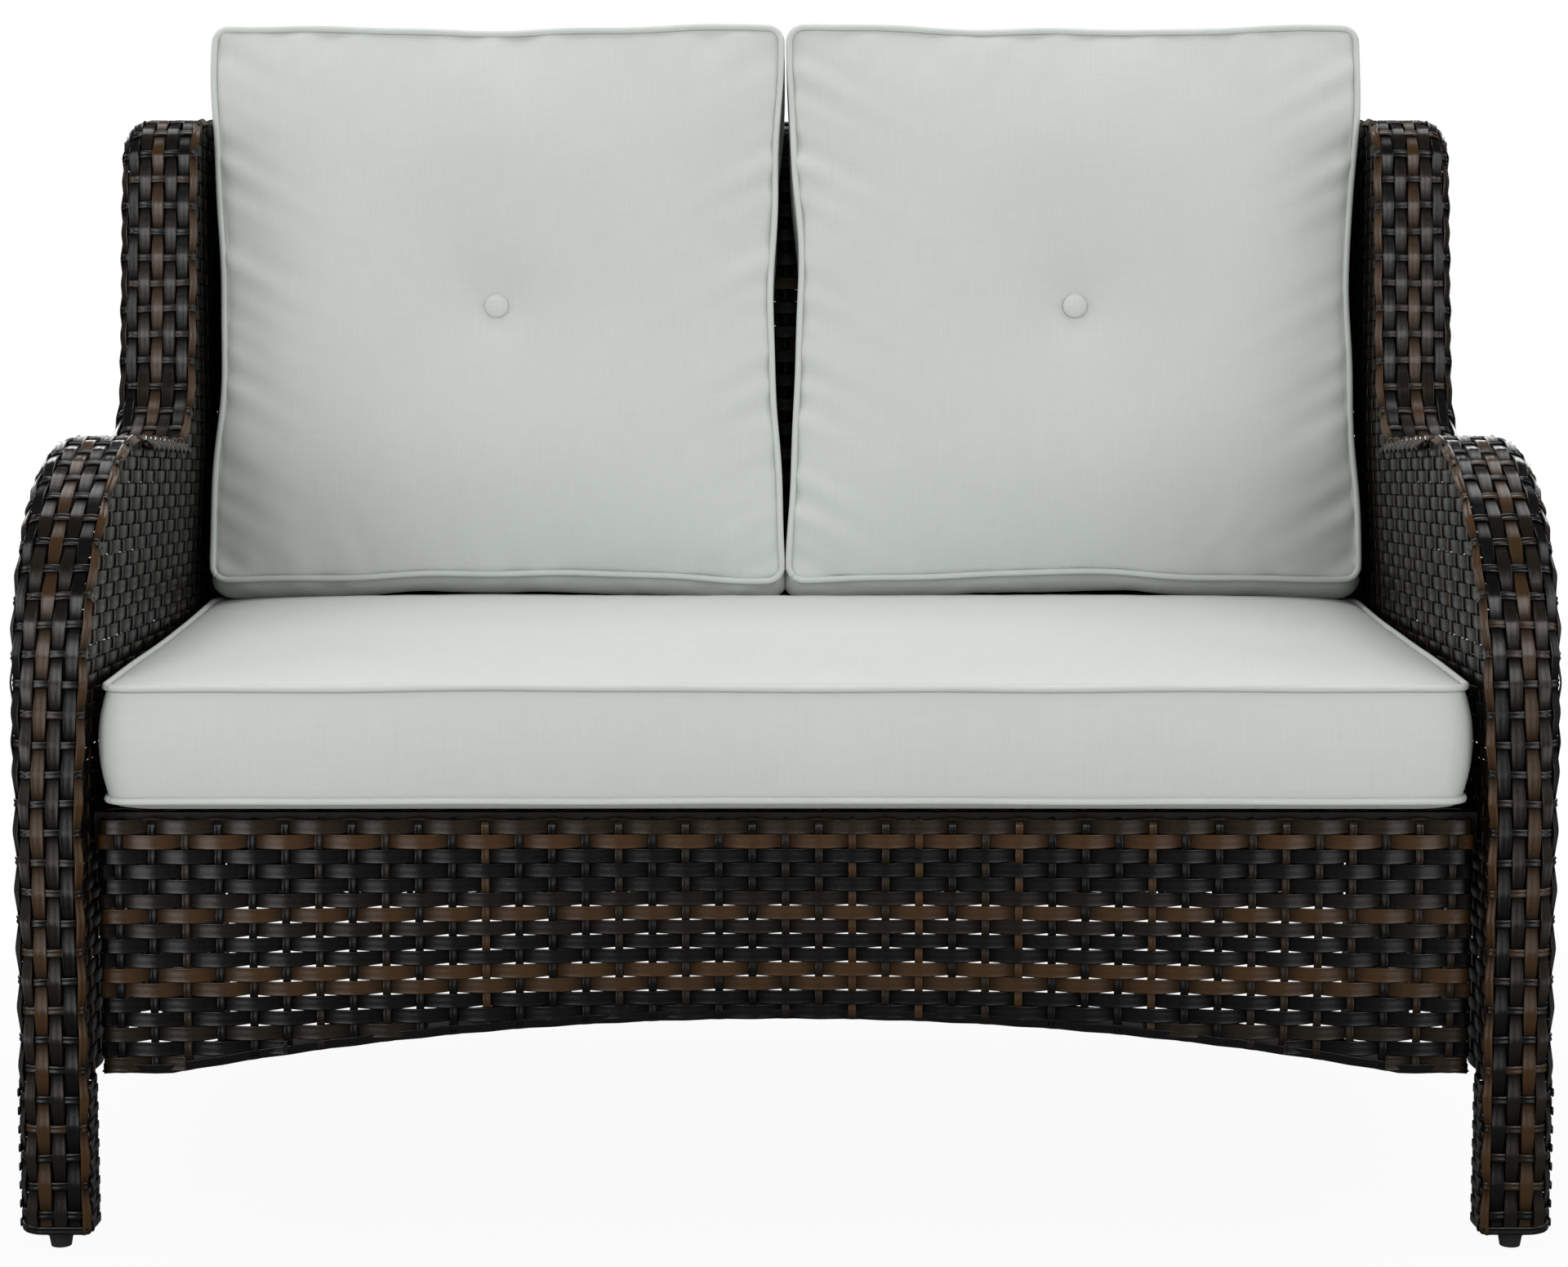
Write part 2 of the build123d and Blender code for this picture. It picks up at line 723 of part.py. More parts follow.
braid_line = braid_high - braid_low
with BuildPart() as braid:
    with BuildSketch(Plane(braid_low, x_dir=(1, 0, 0), z_dir=braid_line)):
        RegularPolygon(braid_diameter / 2, braid_sides)
    extrude(amount=braid_line.length)
save_pair(braid.part, "arm_braid")


# Cushions. Each cover is lofted through bowed outlines, from its flat side to its crown.
piping_room = piping_diameter + fit_gap
crown_inset_shares = (0.2, 0.46, 0.74)
crown_height_shares = (0.5, 0.84, 1)


def bowed_face(width, height, draw):
    """A rounded rectangle whose four sides are drawn in at their middles."""
    x, y = width / 2, height / 2
    with BuildSketch() as face:
        with BuildLine():
            ThreePointArc((-x, -y), (0, -y + draw), (x, -y))
            ThreePointArc((x, -y), (x - draw, 0), (x, y))
            ThreePointArc((x, y), (0, y - draw), (-x, y))
            ThreePointArc((-x, y), (-x + draw, 0), (-x, -y))
        make_face()
        fillet(face.vertices(), radius=cushion_corner_radius)
    return face.sketch_local


def make_cover(base, width, height, draw, levels):
    """A closed cover from (offset, inset) levels, each parallel to the base plane."""
    with BuildPart() as cover:
        for level, inset in levels:
            with BuildSketch(base.offset(level)):
                add(bowed_face(width - 2 * inset, height - 2 * inset, draw))
        loft(ruled=True)
    return cover.part


def make_filling(base, width, height, low, high):
    """The foam or fibre block inside a cover."""
    with BuildPart() as filling:
        with BuildSketch(base.offset(low)):
            RectangleRounded(width, height, cushion_corner_radius)
        extrude(amount=high - low)
    return filling.part


def make_piping(base, width, height, draw, levels):
    """Round cord sewn along each seam, drawn with six sides."""
    outline_face = bowed_face(width - piping_diameter, height - piping_diameter, draw)
    with BuildPart() as piping:
        for level in levels:
            route = base.offset(level).from_local_coords(outline_face.wire())
            with BuildSketch(Plane(route @ 0, x_dir=base.z_dir, z_dir=route % 0)):
                RegularPolygon(piping_diameter / 2, piping_sides)
            sweep(path=route)
    return piping.part


seat_width = 2 * (x_leg_inner - seat_cushion_gap)
y_seat_low = y_front + seat_front_setback
y_seat_high = y_back - seat_rear_gap
seat_depth = y_seat_high - y_seat_low
seat_base = Plane((0, (y_seat_low + y_seat_high) / 2, deck_height + fit_gap))
seat_seam_inset = seat_side_bulge + piping_room
seat_low_seam = seat_bottom_rise
seat_top_seam = seat_low_seam + seat_cushion_thickness
seat_half = min(seat_width, seat_depth) / 2
seat_crown = [
    (seat_top_seam + seat_crown_height * h, seat_seam_inset + seat_half * i)
    for h, i in zip(crown_height_shares, crown_inset_shares)
]
seat_levels = [
    (0, seat_seam_inset + seat_bottom_rise),
    (seat_low_seam, seat_seam_inset),
    ((seat_low_seam + seat_top_seam) / 2, 0),
    (seat_top_seam, seat_seam_inset),
    *seat_crown,
]
seat_foam_sizes = (seat_width - 2 * foam_margin, seat_depth - 2 * foam_margin)
seat_foam_levels = (foam_margin / 2, seat_top_seam - fit_gap)
seat_cover = make_cover(seat_base, seat_width, seat_depth, seat_side_draw, seat_levels)
seat_foam = make_filling(seat_base, *seat_foam_sizes, *seat_foam_levels)
seat_pocket = make_filling(
    seat_base,
    *[size + 2 * fit_gap for size in seat_foam_sizes],
    seat_foam_levels[0] - fit_gap,
    seat_foam_levels[1] + fit_gap,
)
save(seat_cover - seat_pocket, "seat_cushion_cover")
save(seat_foam, "seat_cushion_foam")
seat_piping_sizes = [size - 2 * seat_side_bulge for size in (seat_width, seat_depth)]
seat_seams = (seat_low_seam, seat_top_seam)
seat_piping = make_piping(seat_base, *seat_piping_sizes, seat_side_draw, seat_seams)
save(seat_piping, "seat_cushion_piping")


def lift_over(level, inset):
    """How far up the back a flat cushion bottom clears a point of the seat's crown."""
    behind = y_back - (y_seat_high - inset)
    rise = fit_gap + level + fit_gap - behind * tan(lean)
    return rise * cos(lean)


back_foot = max(lift_over(level, inset) for level, inset in seat_levels[3:5])
x_back_low = back_middle_gap / 2
x_back_high = x_arm_inner - back_side_gap
back_width = x_back_high - x_back_low
back_middle_up = back_foot + back_cushion_height / 2
y_rest, z_rest = lean_point(0, back_middle_up)
back_base = Plane(
    ((x_back_low + x_back_high) / 2, y_rest, z_rest),
    x_dir=(1, 0, 0),
    z_dir=(0, -cos(lean), sin(lean)),
)
rear_seam = fit_gap + back_rear_crown_height
front_seam = rear_seam + back_cushion_boxing
back_half = min(back_width, back_cushion_height) / 2
back_crown = [
    (front_seam + back_crown_height * h, piping_room + back_half * i)
    for h, i in zip(crown_height_shares, crown_inset_shares)
]
back_levels = [
    (fit_gap, foam_margin + piping_room),
    (rear_seam, piping_room),
    ((rear_seam + front_seam) / 2, piping_diameter / 2),
    (front_seam, piping_room),
    *back_crown,
]
back_sizes = (back_width, back_cushion_height)
back_face_level = front_seam + back_crown_height
tuft_floor = back_face_level - tuft_depth
fill_levels = (rear_seam, front_seam - fit_gap)
fill_sizes = [size - 2 * foam_margin for size in back_sizes]
back_cover = make_cover(back_base, *back_sizes, back_side_draw, back_levels)
back_fill = make_filling(back_base, *fill_sizes, *fill_levels)
back_pocket = make_filling(
    back_base,
    *[size + 2 * fit_gap for size in fill_sizes],
    fill_levels[0] - fit_gap,
    fill_levels[1] + fit_gap,
)
tuft_place = back_base.offset(tuft_floor).location * Pos(0, button_rise)
tuft = tuft_place * Cone(
    button_diameter / 2 + fit_gap,
    tuft_diameter / 2,
    tuft_depth + fit_gap,
    align=(Align.CENTER, Align.CENTER, Align.MIN),
)
save_pair(back_cover - back_pocket - tuft, "back_cushion_cover")
save_pair(back_fill, "back_cushion_fill")
back_seams = (rear_seam, front_seam)
save_pair(make_piping(back_base, *back_sizes, back_side_draw, back_seams), "back_cushion_piping")
with BuildPart() as button:
    with BuildSketch(back_base.offset(tuft_floor + fit_gap)):
        with Locations((0, button_rise)):
            Circle(button_diameter / 2)
    extrude(amount=button_thickness)
    face_edge = button.edges().sort_by(Axis(back_base.origin, back_base.z_dir))[-1]
    fillet(face_edge, radius=button_edge_radius)
save_pair(button.part, "back_cushion_button")
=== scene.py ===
import json
from math import atan2, cos, degrees, pi, radians, sin, tan

import bpy
import numpy as np
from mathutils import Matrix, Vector


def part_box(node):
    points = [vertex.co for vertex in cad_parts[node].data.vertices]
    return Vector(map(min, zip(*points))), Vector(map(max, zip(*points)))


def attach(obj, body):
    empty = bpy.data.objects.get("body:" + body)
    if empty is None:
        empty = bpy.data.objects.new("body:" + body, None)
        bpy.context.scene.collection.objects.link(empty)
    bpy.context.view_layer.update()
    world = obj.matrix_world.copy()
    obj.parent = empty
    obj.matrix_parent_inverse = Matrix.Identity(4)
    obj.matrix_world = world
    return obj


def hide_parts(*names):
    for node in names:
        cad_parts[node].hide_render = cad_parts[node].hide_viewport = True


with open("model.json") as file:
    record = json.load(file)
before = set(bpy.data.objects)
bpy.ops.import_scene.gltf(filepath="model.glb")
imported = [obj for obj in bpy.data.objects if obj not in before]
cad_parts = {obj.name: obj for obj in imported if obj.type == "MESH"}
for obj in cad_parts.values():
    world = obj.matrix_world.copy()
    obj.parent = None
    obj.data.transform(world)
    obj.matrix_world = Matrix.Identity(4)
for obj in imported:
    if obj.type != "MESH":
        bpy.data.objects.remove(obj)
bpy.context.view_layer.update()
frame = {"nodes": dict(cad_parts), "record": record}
print("frame loaded:", len(frame["nodes"]), "nodes")

metre = 0.001  # this script's lengths are in millimetres

loveseat = {
    "width": 1286,
    "depth": 740,
    "wingHeight": 950,
    "armHeight": 669,
    "glideHeight": 14,
    "deckHeight": 366,
    "panelBottom": 142,
    "armSlope": 5.5,
    "armFrontRadius": 200,
    "wingDepth": 270,
    "wingRecline": 9,
    "wingFootRadius": 72,
    "wingTopRadius": 45,
    "rearTopRadius": 45,
    "rearLegInset": 40,
    "rearKneeHeight": 370,
    "rearKneeRadius": 400,
    "legWidth": 59,
    "armBoxWidth": 74,
    "leanEnd": 650,
    "frontLegDepth": 45,
    "rearLegDepth": 50,
    "edgeRadius": 22,
    "bandJointSetback": 100,
    "backDepth": 144,
    "backAngle": 7.2,
    "capDepth": 46,
    "capRadius": 20,
    "apronSetback": 35,
    "apronDepth": 20,
    "apronTopDrop": 6,
    "apronEndGap": 6,
    "apronRise": 47,
    "apronFlat": 60,
}
yFront = -loveseat["depth"] / 2
yRear = loveseat["depth"] / 2
xOuter = loveseat["width"] / 2
xLegInner = xOuter - loveseat["legWidth"]
xArmInner = xOuter - loveseat["armBoxWidth"]
yWing = yRear - loveseat["wingDepth"]
yBack = yRear - loveseat["backDepth"]
lean = radians(loveseat["backAngle"])
deckHeight = loveseat["deckHeight"]
panelBottom = loveseat["panelBottom"]

weave = {
    "stakePitch": 28,
    "stakeWidth": 7,
    "rowPitch": 12.3,
    "rowShares": (0, 0.13, 0.5, 0.87),
    "shortestRun": 8,
    "thickness": 1.3,
    "rise": 1.3,
    "stakeRise": 0.55,
    "stakeStep": 4.1,
    "stakeShadeAndPolish": 0.6,
    "crestRoundness": 0.6,
    "underPinch": 0.12,
    "pinchAhead": 0.1,
    "skinMiddle": 1.5,
    "columnPitch": 12.2,
    "columnWidth": 11.4,
    "cordWidth": 8.8,
    "wrapPitch": 25,
    "wrapWidth": 7.4,
    "brownShare": 0.2,
    "brownTone": 0.9,
    "darkShare": 0.3,
    "darkTone": 0.5,
    "blackTone": 0.1,
    "toneSpread": 0.08,
    "stakeToneShare": 0.8,
}

# Cross-sections of the strands, in half widths and thicknesses.
beadedStrand = np.array([
    (-1, 0), (-0.95, 0.4), (-0.86, 0.55), (-0.76, 0.4), (-0.3, 0.56), (0.3, 0.56), (0.76, 0.4),
    (0.86, 0.55), (0.95, 0.4), (1, 0), (0.86, -0.5), (0.3, -0.5), (-0.3, -0.5), (-0.86, -0.5),
])
plainStrand = np.array([(-1, 0), (-0.86, 0.5), (0.86, 0.5), (1, 0), (0.86, -0.5), (-0.86, -0.5)])
doubleStrand = np.array([
    (-1, 0), (-0.8, 0.5), (-0.5, 0.72), (-0.14, 0.3), (0.14, 0.3),
    (0.5, 0.72), (0.8, 0.5), (1, 0), (0.7, -0.5), (-0.7, -0.5),
])


def unit(vectors):
    return vectors / np.linalg.norm(vectors, axis=-1, keepdims=True)


def reachAlong(spots):
    return np.concatenate([[0], np.cumsum(np.linalg.norm(np.diff(spots, axis=0), axis=1))])


def bell(a, width):
    return np.exp(-(a / width) ** 2)


# Routes: straight runs joined by arcs, read by the distance along them.
def roundedRoute(corners, radii, fine=2.0):
    spots, headings = [], []
    corners = [np.array(corner, float) for corner in corners]
    start = corners[0]

    def goStraight(end, heading, skip=0):
        for share in np.linspace(0, 1, max(2, int(np.linalg.norm(end - start) / fine)))[skip:]:
            spots.append(start + (end - start) * share)
            headings.append(heading)

    for before, at, after, radius in zip(corners, corners[1:], corners[2:], radii):
        way, away = unit(at - before), unit(after - at)
        turn = atan2(way[0] * away[1] - way[1] * away[0], way @ away)
        arcStart = at - way * radius * tan(abs(turn) / 2)
        heading = atan2(way[1], way[0])
        goStraight(arcStart, heading)
        side = 1 if turn > 0 else -1
        centre = arcStart + radius * side * np.array((-way[1], way[0]))
        for share in np.linspace(0, 1, max(3, int(abs(turn) * radius / fine)))[1:]:
            angle = heading + turn * share
            spots.append(centre + radius * side * np.array((sin(angle), -cos(angle))))
            headings.append(angle)
        start = spots[-1]
    goStraight(corners[-1], headings[-1], 1)
    spots = np.array(spots)
    return {"reach": reachAlong(spots), "u": spots[:, 0], "v": spots[:, 1], "heading": np.array(headings)}


def along(route, distance):
    u = np.interp(distance, route["reach"], route["u"])
    v = np.interp(distance, route["reach"], route["v"])
    heading = np.interp(distance, route["reach"], route["heading"])
    return u, v, heading


def meet(first, second):
    (ay, az, a), (by, bz, b) = first, second
    ca, sa, cb, sb = cos(radians(a)), sin(radians(a)), cos(radians(b)), sin(radians(b))
    run = ((by - ay) * sb - (bz - az) * cb) / (ca * sb - sa * cb)
    return ay + run * ca, az + run * sa


def sideLines(inset):
    slope, recline = radians(loveseat["armSlope"]), radians(loveseat["wingRecline"])
    radius = loveseat["armFrontRadius"]
    corner = loveseat["armHeight"] - radius * (1 - tan(radians(45) + slope / 2))
    wingZ = corner - (yWing - yFront) * tan(slope)
    top = loveseat["wingHeight"]
    rear = atan2(top - loveseat["rearKneeHeight"], loveseat["rearLegInset"])
    return [
        (yFront + inset, 0, 90),
        (yFront - inset * sin(slope), corner - inset * cos(slope), -loveseat["armSlope"]),
        (yWing + inset * cos(recline), wingZ - inset * sin(recline), 90 - loveseat["wingRecline"]),
        (0, top - inset, 0),
        (yRear - inset * sin(rear), top + inset * cos(rear), degrees(rear)),
        (yRear - loveseat["rearLegInset"] - inset, 0, 90),
    ]


def sideOutline(inset, bottom):
    lines = sideLines(inset)
    crossings = [meet(a, b) for a, b in zip(lines, lines[1:])]
    corners = [(lines[0][0], bottom), *crossings, (lines[-1][0], bottom)]
    radii = [
        loveseat["armFrontRadius"] - inset,
        loveseat["wingFootRadius"] + inset,
        loveseat["wingTopRadius"] - inset,
        loveseat["rearTopRadius"] - inset,
        loveseat["rearKneeRadius"] + inset,
    ]
    return roundedRoute(corners, radii)


def insideOutline(route, y, z):
    u, v = route["u"], route["v"]
    inside = np.zeros(len(y), bool)
    for ua, va, ub, vb in zip(u, v, np.roll(u, -1), np.roll(v, -1)):
        if va == vb:
            continue
        crosses = (va > z) != (vb > z)
        inside ^= crosses & (y < ua + (z - va) / (vb - va) * (ub - ua))
    return inside


def innerX(z):
    share = np.clip((z - deckHeight) / (loveseat["leanEnd"] - deckHeight), 0, 1)
    return xLegInner - (xLegInner - xArmInner) * share


# Strands: closed flat tubes, gathered into one mesh for each woven panel.
def newStrands(seed):
    return {"points": [], "faces": [], "tone": [], "shadeAndPolish": [], "lay": [], "count": 0,
            "chance": np.random.default_rng(seed)}


def addStrand(strands, middle, normal, halfWidth, thickness, tone, section, shadeAndPolish=1.0):
    tangent = unit(np.gradient(middle, axis=0))
    across = unit(np.cross(normal, tangent))
    normal = np.cross(tangent, across)
    halfWidth = np.broadcast_to(halfWidth, len(middle))
    ring = len(section)
    wide = (section[:, 0] * halfWidth[:, None])[:, :, None] * across[:, None, :]
    high = (section[:, 1] * thickness)[None, :, None] * normal[:, None, :]
    points = middle[:, None, :] + wide + high
    number = strands["count"] + np.arange(len(middle) * ring).reshape(-1, ring)
    turned = np.roll(number, -1, axis=1)
    sides = np.stack([number[:-1], number[1:], turned[1:], turned[:-1]], axis=-1).reshape(-1, 4)
    low = np.arange(ring // 2 - 1)
    caps = [np.stack([end[low], end[low + 1], end[ring - 2 - low], end[ring - 1 - low]], axis=-1)
            for end in (number[0], number[-1])]
    lay = np.empty((len(middle), ring, 3))
    lay[:, :, 0] = reachAlong(middle)[:, None] * metre
    lay[:, :, 1] = section[None, :, 0]
    lay[:, :, 2] = strands["chance"].random() * 10
    strands["points"].append(points.reshape(-1, 3) * metre)
    strands["faces"] += [sides, caps[0], caps[1][:, ::-1]]
    strands["tone"].append(np.full(len(middle) * ring, tone))
    # a value that is high on a strand's crests and low where it dips under another: it paints shade into the colour
    # there and sets the gloss
    strands["shadeAndPolish"].append(np.repeat(np.broadcast_to(shadeAndPolish, len(middle)), ring))
    strands["lay"].append(lay.reshape(-1, 3))
    strands["count"] += len(middle) * ring


def pickTone(strands):
    draw = strands["chance"].random()
    shade = strands["chance"].uniform(-weave["toneSpread"], weave["toneSpread"])
    if draw < weave["brownShare"]:
        return weave["brownTone"] + shade
    if draw < weave["brownShare"] + weave["darkShare"]:
        return weave["darkTone"] + shade
    return weave["blackTone"] + shade


def crestWave(phase):
    # +1 at even crossings and -1 at odd ones, with slightly rounded crests between straight flanks
    share = phase - np.floor(phase)
    sign = np.where(np.floor(phase) % 2 == 0, 1.0, -1.0)
    roundness = weave["crestRoundness"]
    return sign * (roundness * np.cos(pi * share) + (1 - roundness) * (1 - 2 * share))


def surfaceFrame(surface, a, b):
    small = 0.4
    spot = surface(a, b)
    alongA = surface(a + small, b) - surface(a - small, b)
    alongB = surface(a, b + small) - surface(a, b - small)
    return spot, unit(np.cross(alongA, alongB))


def layStrand(strands, surface, a, b, lift, facing, halfWidth, tone, section, thickness=weave["thickness"],
              shadeAndPolish=1.0):
    a, b = np.broadcast_arrays(np.asarray(a, float), np.asarray(b, float))
    spot, normal = surfaceFrame(surface, a, b)
    normal = normal * facing
    middle = spot + normal * (np.broadcast_to(lift, len(a))[:, None] - weave["skinMiddle"])
    addStrand(strands, middle, normal, halfWidth, thickness, tone, section, shadeAndPolish)


def runsWithin(inside, spots, shortest=weave["shortestRun"]):
    edges = np.flatnonzero(np.diff(np.concatenate([[0], inside.astype(int), [0]])))
    runs = [(spots[a], spots[b - 1]) for a, b in zip(edges[::2], edges[1::2])]
    return [(low, high) for low, high in runs if high - low >= shortest]


def stepsBetween(low, high, start, pitch, shares):
    first, last = int(np.floor((low - start) / pitch)), int(np.ceil((high - start) / pitch))
    spots = [start + pitch * (n + share) for n in range(first, last + 1) for share in shares]
    gap = 0.8
    return np.array([low] + [s for s in spots if low + gap < s < high - gap] + [high])


def weavePatch(strands, surface, rows, stakes, start=0, facing=1, rowSection=plainStrand, stakeSection=plainStrand,
               fill=1.0, rise=weave["rise"], shadeAndPolish=1.0, rowShares=weave["rowShares"], stakeStep=weave["stakeStep"],
               opening=lambda a: 1.0):
    # rows: number, b at a, pitch at a, runs, tone; stakes: number, a, runs, (row, b) where they cross, tone
    for number, line, room, runs, tone in rows:
        for low, high in runs:
            a = stepsBetween(low, high, start, weave["stakePitch"], rowShares)
            phase = (a - start) / weave["stakePitch"] + number
            wave = crestWave(phase)
            pinch = weave["underPinch"] * ((1 - crestWave(phase + weave["pinchAhead"])) / 2) ** 4 * opening(a)
            half = room(a) * fill / 2
            # the wave also paints shade: rows darken and lose gloss where they pass under a stake
            layStrand(strands, surface, a, line(a) + half * pinch, wave * rise, facing, half * (1 - pinch), tone,
                      rowSection, shadeAndPolish=(wave + 1) / 2 * shadeAndPolish)
    for number, a, runs, crossings, tone in stakes:
        for low, high in runs:
            b = np.linspace(low, high, max(4, int((high - low) / stakeStep)))
            wave = np.cos(pi * (np.interp(b, crossings[:, 1], crossings[:, 0]) + number + 1))
            # stakes are painted darker and less glossy where they pass under a row, and never reach full gloss
            layStrand(strands, surface, a, b, wave * weave["stakeRise"], facing, weave["stakeWidth"] / 2, tone,
                      stakeSection, shadeAndPolish=(wave + 1) / 2 * weave["stakeShadeAndPolish"])


# Meshes and objects.
def writeAttribute(mesh, name, kind, values, domain="POINT"):
    key = "vector" if kind == "FLOAT_VECTOR" else "value"
    mesh.attributes.new(name, kind, domain).data.foreach_set(key, values.astype(np.float32).ravel())


def readValues(source, key, width=3, kind=float):
    values = np.empty(len(source) * width, kind)
    source.foreach_get(key, values)
    return values.reshape(-1, width)


def meshOf(name, points, faces):
    mesh = bpy.data.meshes.new(name)
    mesh.from_pydata(points, [], faces)
    return mesh


def addObject(name, data):
    thing = bpy.data.objects.new(name, data)
    bpy.context.scene.collection.objects.link(thing)
    return thing


def addPiece(name, mesh, material, body, nodes):
    mesh.polygons.foreach_set("use_smooth", np.ones(len(mesh.polygons), bool))
    mesh.materials.append(material)
    piece = addObject(name, mesh)
    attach(piece, body)
    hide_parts(*nodes)
    print(name, len(mesh.polygons), "faces")
    return piece


def weaveMesh(name, strands, material, nodes, body="frame"):
    mesh = bpy.data.meshes.new(name)
    points = np.concatenate(strands["points"])
    faces = np.concatenate(strands["faces"]).astype(np.int32)
    mesh.vertices.add(len(points))
    mesh.vertices.foreach_set("co", points.astype(np.float32).ravel())
    mesh.loops.add(faces.size)
    mesh.loops.foreach_set("vertex_index", faces.ravel())
    mesh.polygons.add(len(faces))
    mesh.polygons.foreach_set("loop_start", np.arange(len(faces), dtype=np.int32) * 4)
    for key, kind in (("tone", "FLOAT"), ("shadeAndPolish", "FLOAT"), ("lay", "FLOAT_VECTOR")):
        writeAttribute(mesh, key, kind, np.concatenate(strands[key]))
    mesh.update()
    mesh.validate()
    addPiece(name, mesh, material, body, nodes)


# Materials: an input that is given a socket is linked, and any other value is set.
def setInputs(node, inputs):
    for key, value in inputs.items():
        if isinstance(value, bpy.types.NodeSocket):
            node.id_data.links.new(value, node.inputs[key])
        else:
            node.inputs[key].default_value = value


def addNode(tree, kind, inputs, **settings):
    node = tree.nodes.new("ShaderNode" + kind)
    for key, value in settings.items():
        setattr(node, key, value)
    setInputs(node, inputs)
    return node


def newMaterial(name, kind="BsdfPrincipled"):
    material = bpy.data.materials.new(name)
    material.use_nodes = True
    tree = material.node_tree
    tree.nodes.clear()
    shader = addNode(tree, kind, {})
    addNode(tree, "OutputMaterial", {0: shader.outputs[0]})
    return material, shader


def attributeOf(shader, name, output):
    return addNode(shader.id_data, "Attribute", {}, attribute_name=name).outputs[output]


def separated(source):
    return addNode(source.id_data, "SeparateXYZ", {0: source}).outputs


def calc(operation, *terms):
    return addNode(terms[0].id_data, "Math", dict(enumerate(terms)), operation=operation).outputs[0]


def multiplied(first, second):
    inputs = {0: 1.0, 6: first, 7: second}
    return addNode(first.id_data, "Mix", inputs, data_type="RGBA", blend_type="MULTIPLY").outputs[2]


def ramp(source, stops, blend="LINEAR"):
    node = addNode(source.id_data, "ValToRGB", {0: source})
    node.color_ramp.interpolation = blend
    elements = node.color_ramp.elements
    while len(elements) > 1:
        elements.remove(elements[-1])
    for index, (spot, colour) in enumerate(stops):
        element = elements[0] if index == 0 else elements.new(spot)
        element.position = spot
        element.color = (*colour, 1) if isinstance(colour, tuple) else (colour, colour, colour, 1)
    return node.outputs[0]


def noise(source, stretch, scale=1.0, detail=3):
    stretched = addNode(source.id_data, "Mapping", {"Vector": source, "Scale": stretch}).outputs[0]
    inputs = {"Vector": stretched, "Scale": scale, "Detail": detail, "Roughness": 0.55}
    return addNode(source.id_data, "TexNoise", inputs).outputs["Fac"]


def bump(shader, height, strength, distance):
    node = addNode(shader.id_data, "Bump", {"Strength": strength, "Distance": distance, "Height": height})
    setInputs(shader, {"Normal": node.outputs[0]})


resin = {
    "black": (0.0028, 0.0029, 0.0028),
    "dark": (0.0145, 0.0102, 0.0058),
    "brown": (0.058, 0.0275, 0.0088),
    "gloss": 0.18,
    "relief": 0.0006,
}


def resinMaterial():
    material, shader = newMaterial("resinStrand")
    tone, shadeAndPolish = attributeOf(shader, "tone", "Fac"), attributeOf(shader, "shadeAndPolish", "Fac")
    lay = attributeOf(shader, "lay", "Vector")
    streaks = noise(lay, (9, 2.6, 3.1), 3, 4)
    fine = noise(lay, (60, 9, 5), 4, 3)
    shifted = calc("ADD", tone, calc("MULTIPLY", calc("SUBTRACT", streaks, 0.5), 0.2))
    colour = ramp(shifted, [(0.12, resin["black"]), (0.5, resin["dark"]), (0.95, resin["brown"])])
    speckled = multiplied(colour, ramp(fine, [(0.3, 0.72), (0.7, 1.22)]))
    # painted shade: the colour darkens where a strand dips under its neighbour, into the weave's own shade; the
    # specular level drops there too, standing in for shade on reflections, and the roughness rises
    paintedUnderShade = ramp(shadeAndPolish, [(0.0, 0.42), (0.75, 1.0)], "EASE")
    rough = ramp(streaks, [(0.25, resin["gloss"] - 0.03), (0.75, resin["gloss"] + 0.08)])
    dull = ramp(shadeAndPolish, [(0.0, 0.4), (0.6, 0.0)], "EASE")
    setInputs(shader, {
        "Base Color": multiplied(speckled, paintedUnderShade),
        "Specular IOR Level": ramp(shadeAndPolish, [(0.0, 0.05), (0.85, 0.5)], "EASE"),
        "Roughness": calc("ADD", rough, dull),
    })
    across = calc("ABSOLUTE", separated(lay)[1])
    groove = ramp(across, [(0.0, 0.55), (0.62, 0.5), (0.74, 0.2), (0.86, 1.0), (1.0, 0.3)])
    bump(shader, calc("ADD", calc("MULTIPLY", groove, 0.6), calc("MULTIPLY", fine, 0.35)), 0.32, resin["relief"])
    return material


resinStrand = resinMaterial()

# Arm bands: columns along the side outline, crossed by double wraps.
band = {
    "corner": 4.0,
    "crownRadius": 25,
    "crownLow": 860,
    "crownLap": 2,
    "cordTone": 0.92,
    "columnTones": (0.1, 0.3, 0.8, 0.42, 0.12, 0.45, 0.15),
    "columnShares": (0, 0.15, 0.5, 0.85),
    "cordThickness": 2.1,
    "columnThickness": 1.4,
    "columnRise": 1.495,
    "cordLift": 0.3,
    "columnPinch": 0.16,
    "sway": 0.35,
    "swayTurn": 0.021,
    "shortestColumn": 300,
    "edgeLap": 5,
    "wrapThickness": 1.5,
    "wrapRise": 0.75,
    "wrapStep": 2.6,
    "wrapToneShare": 0.7,
    "wrapSway": 0.8,
    "wrapSwayTurn": 0.05,
    "endRoom": 3,
    "overhang": 9,
    "selvage": 15,
    "selvageLap": 2,
    "selvageSink": 1.0,
    "selvageTone": 0.12,
    "selvageThickness": 1.0,
    "selvageShadeAndPolish": 0.15,
    "hemWidth": 7.2,
    "hemShadeAndPolish": 0.6,
    "hemInset": 3.5,
    "hemLift": 1.2,
    "hemTone": 0.15,
}


def edgeAt(z):
    rising = np.clip((z - band["crownLow"]) / (loveseat["wingHeight"] - band["crownLow"]), 0, 1)
    plainEdge = loveseat["edgeRadius"]
    return plainEdge + (band["crownRadius"] - plainEdge) * rising**2 * (3 - 2 * rising)


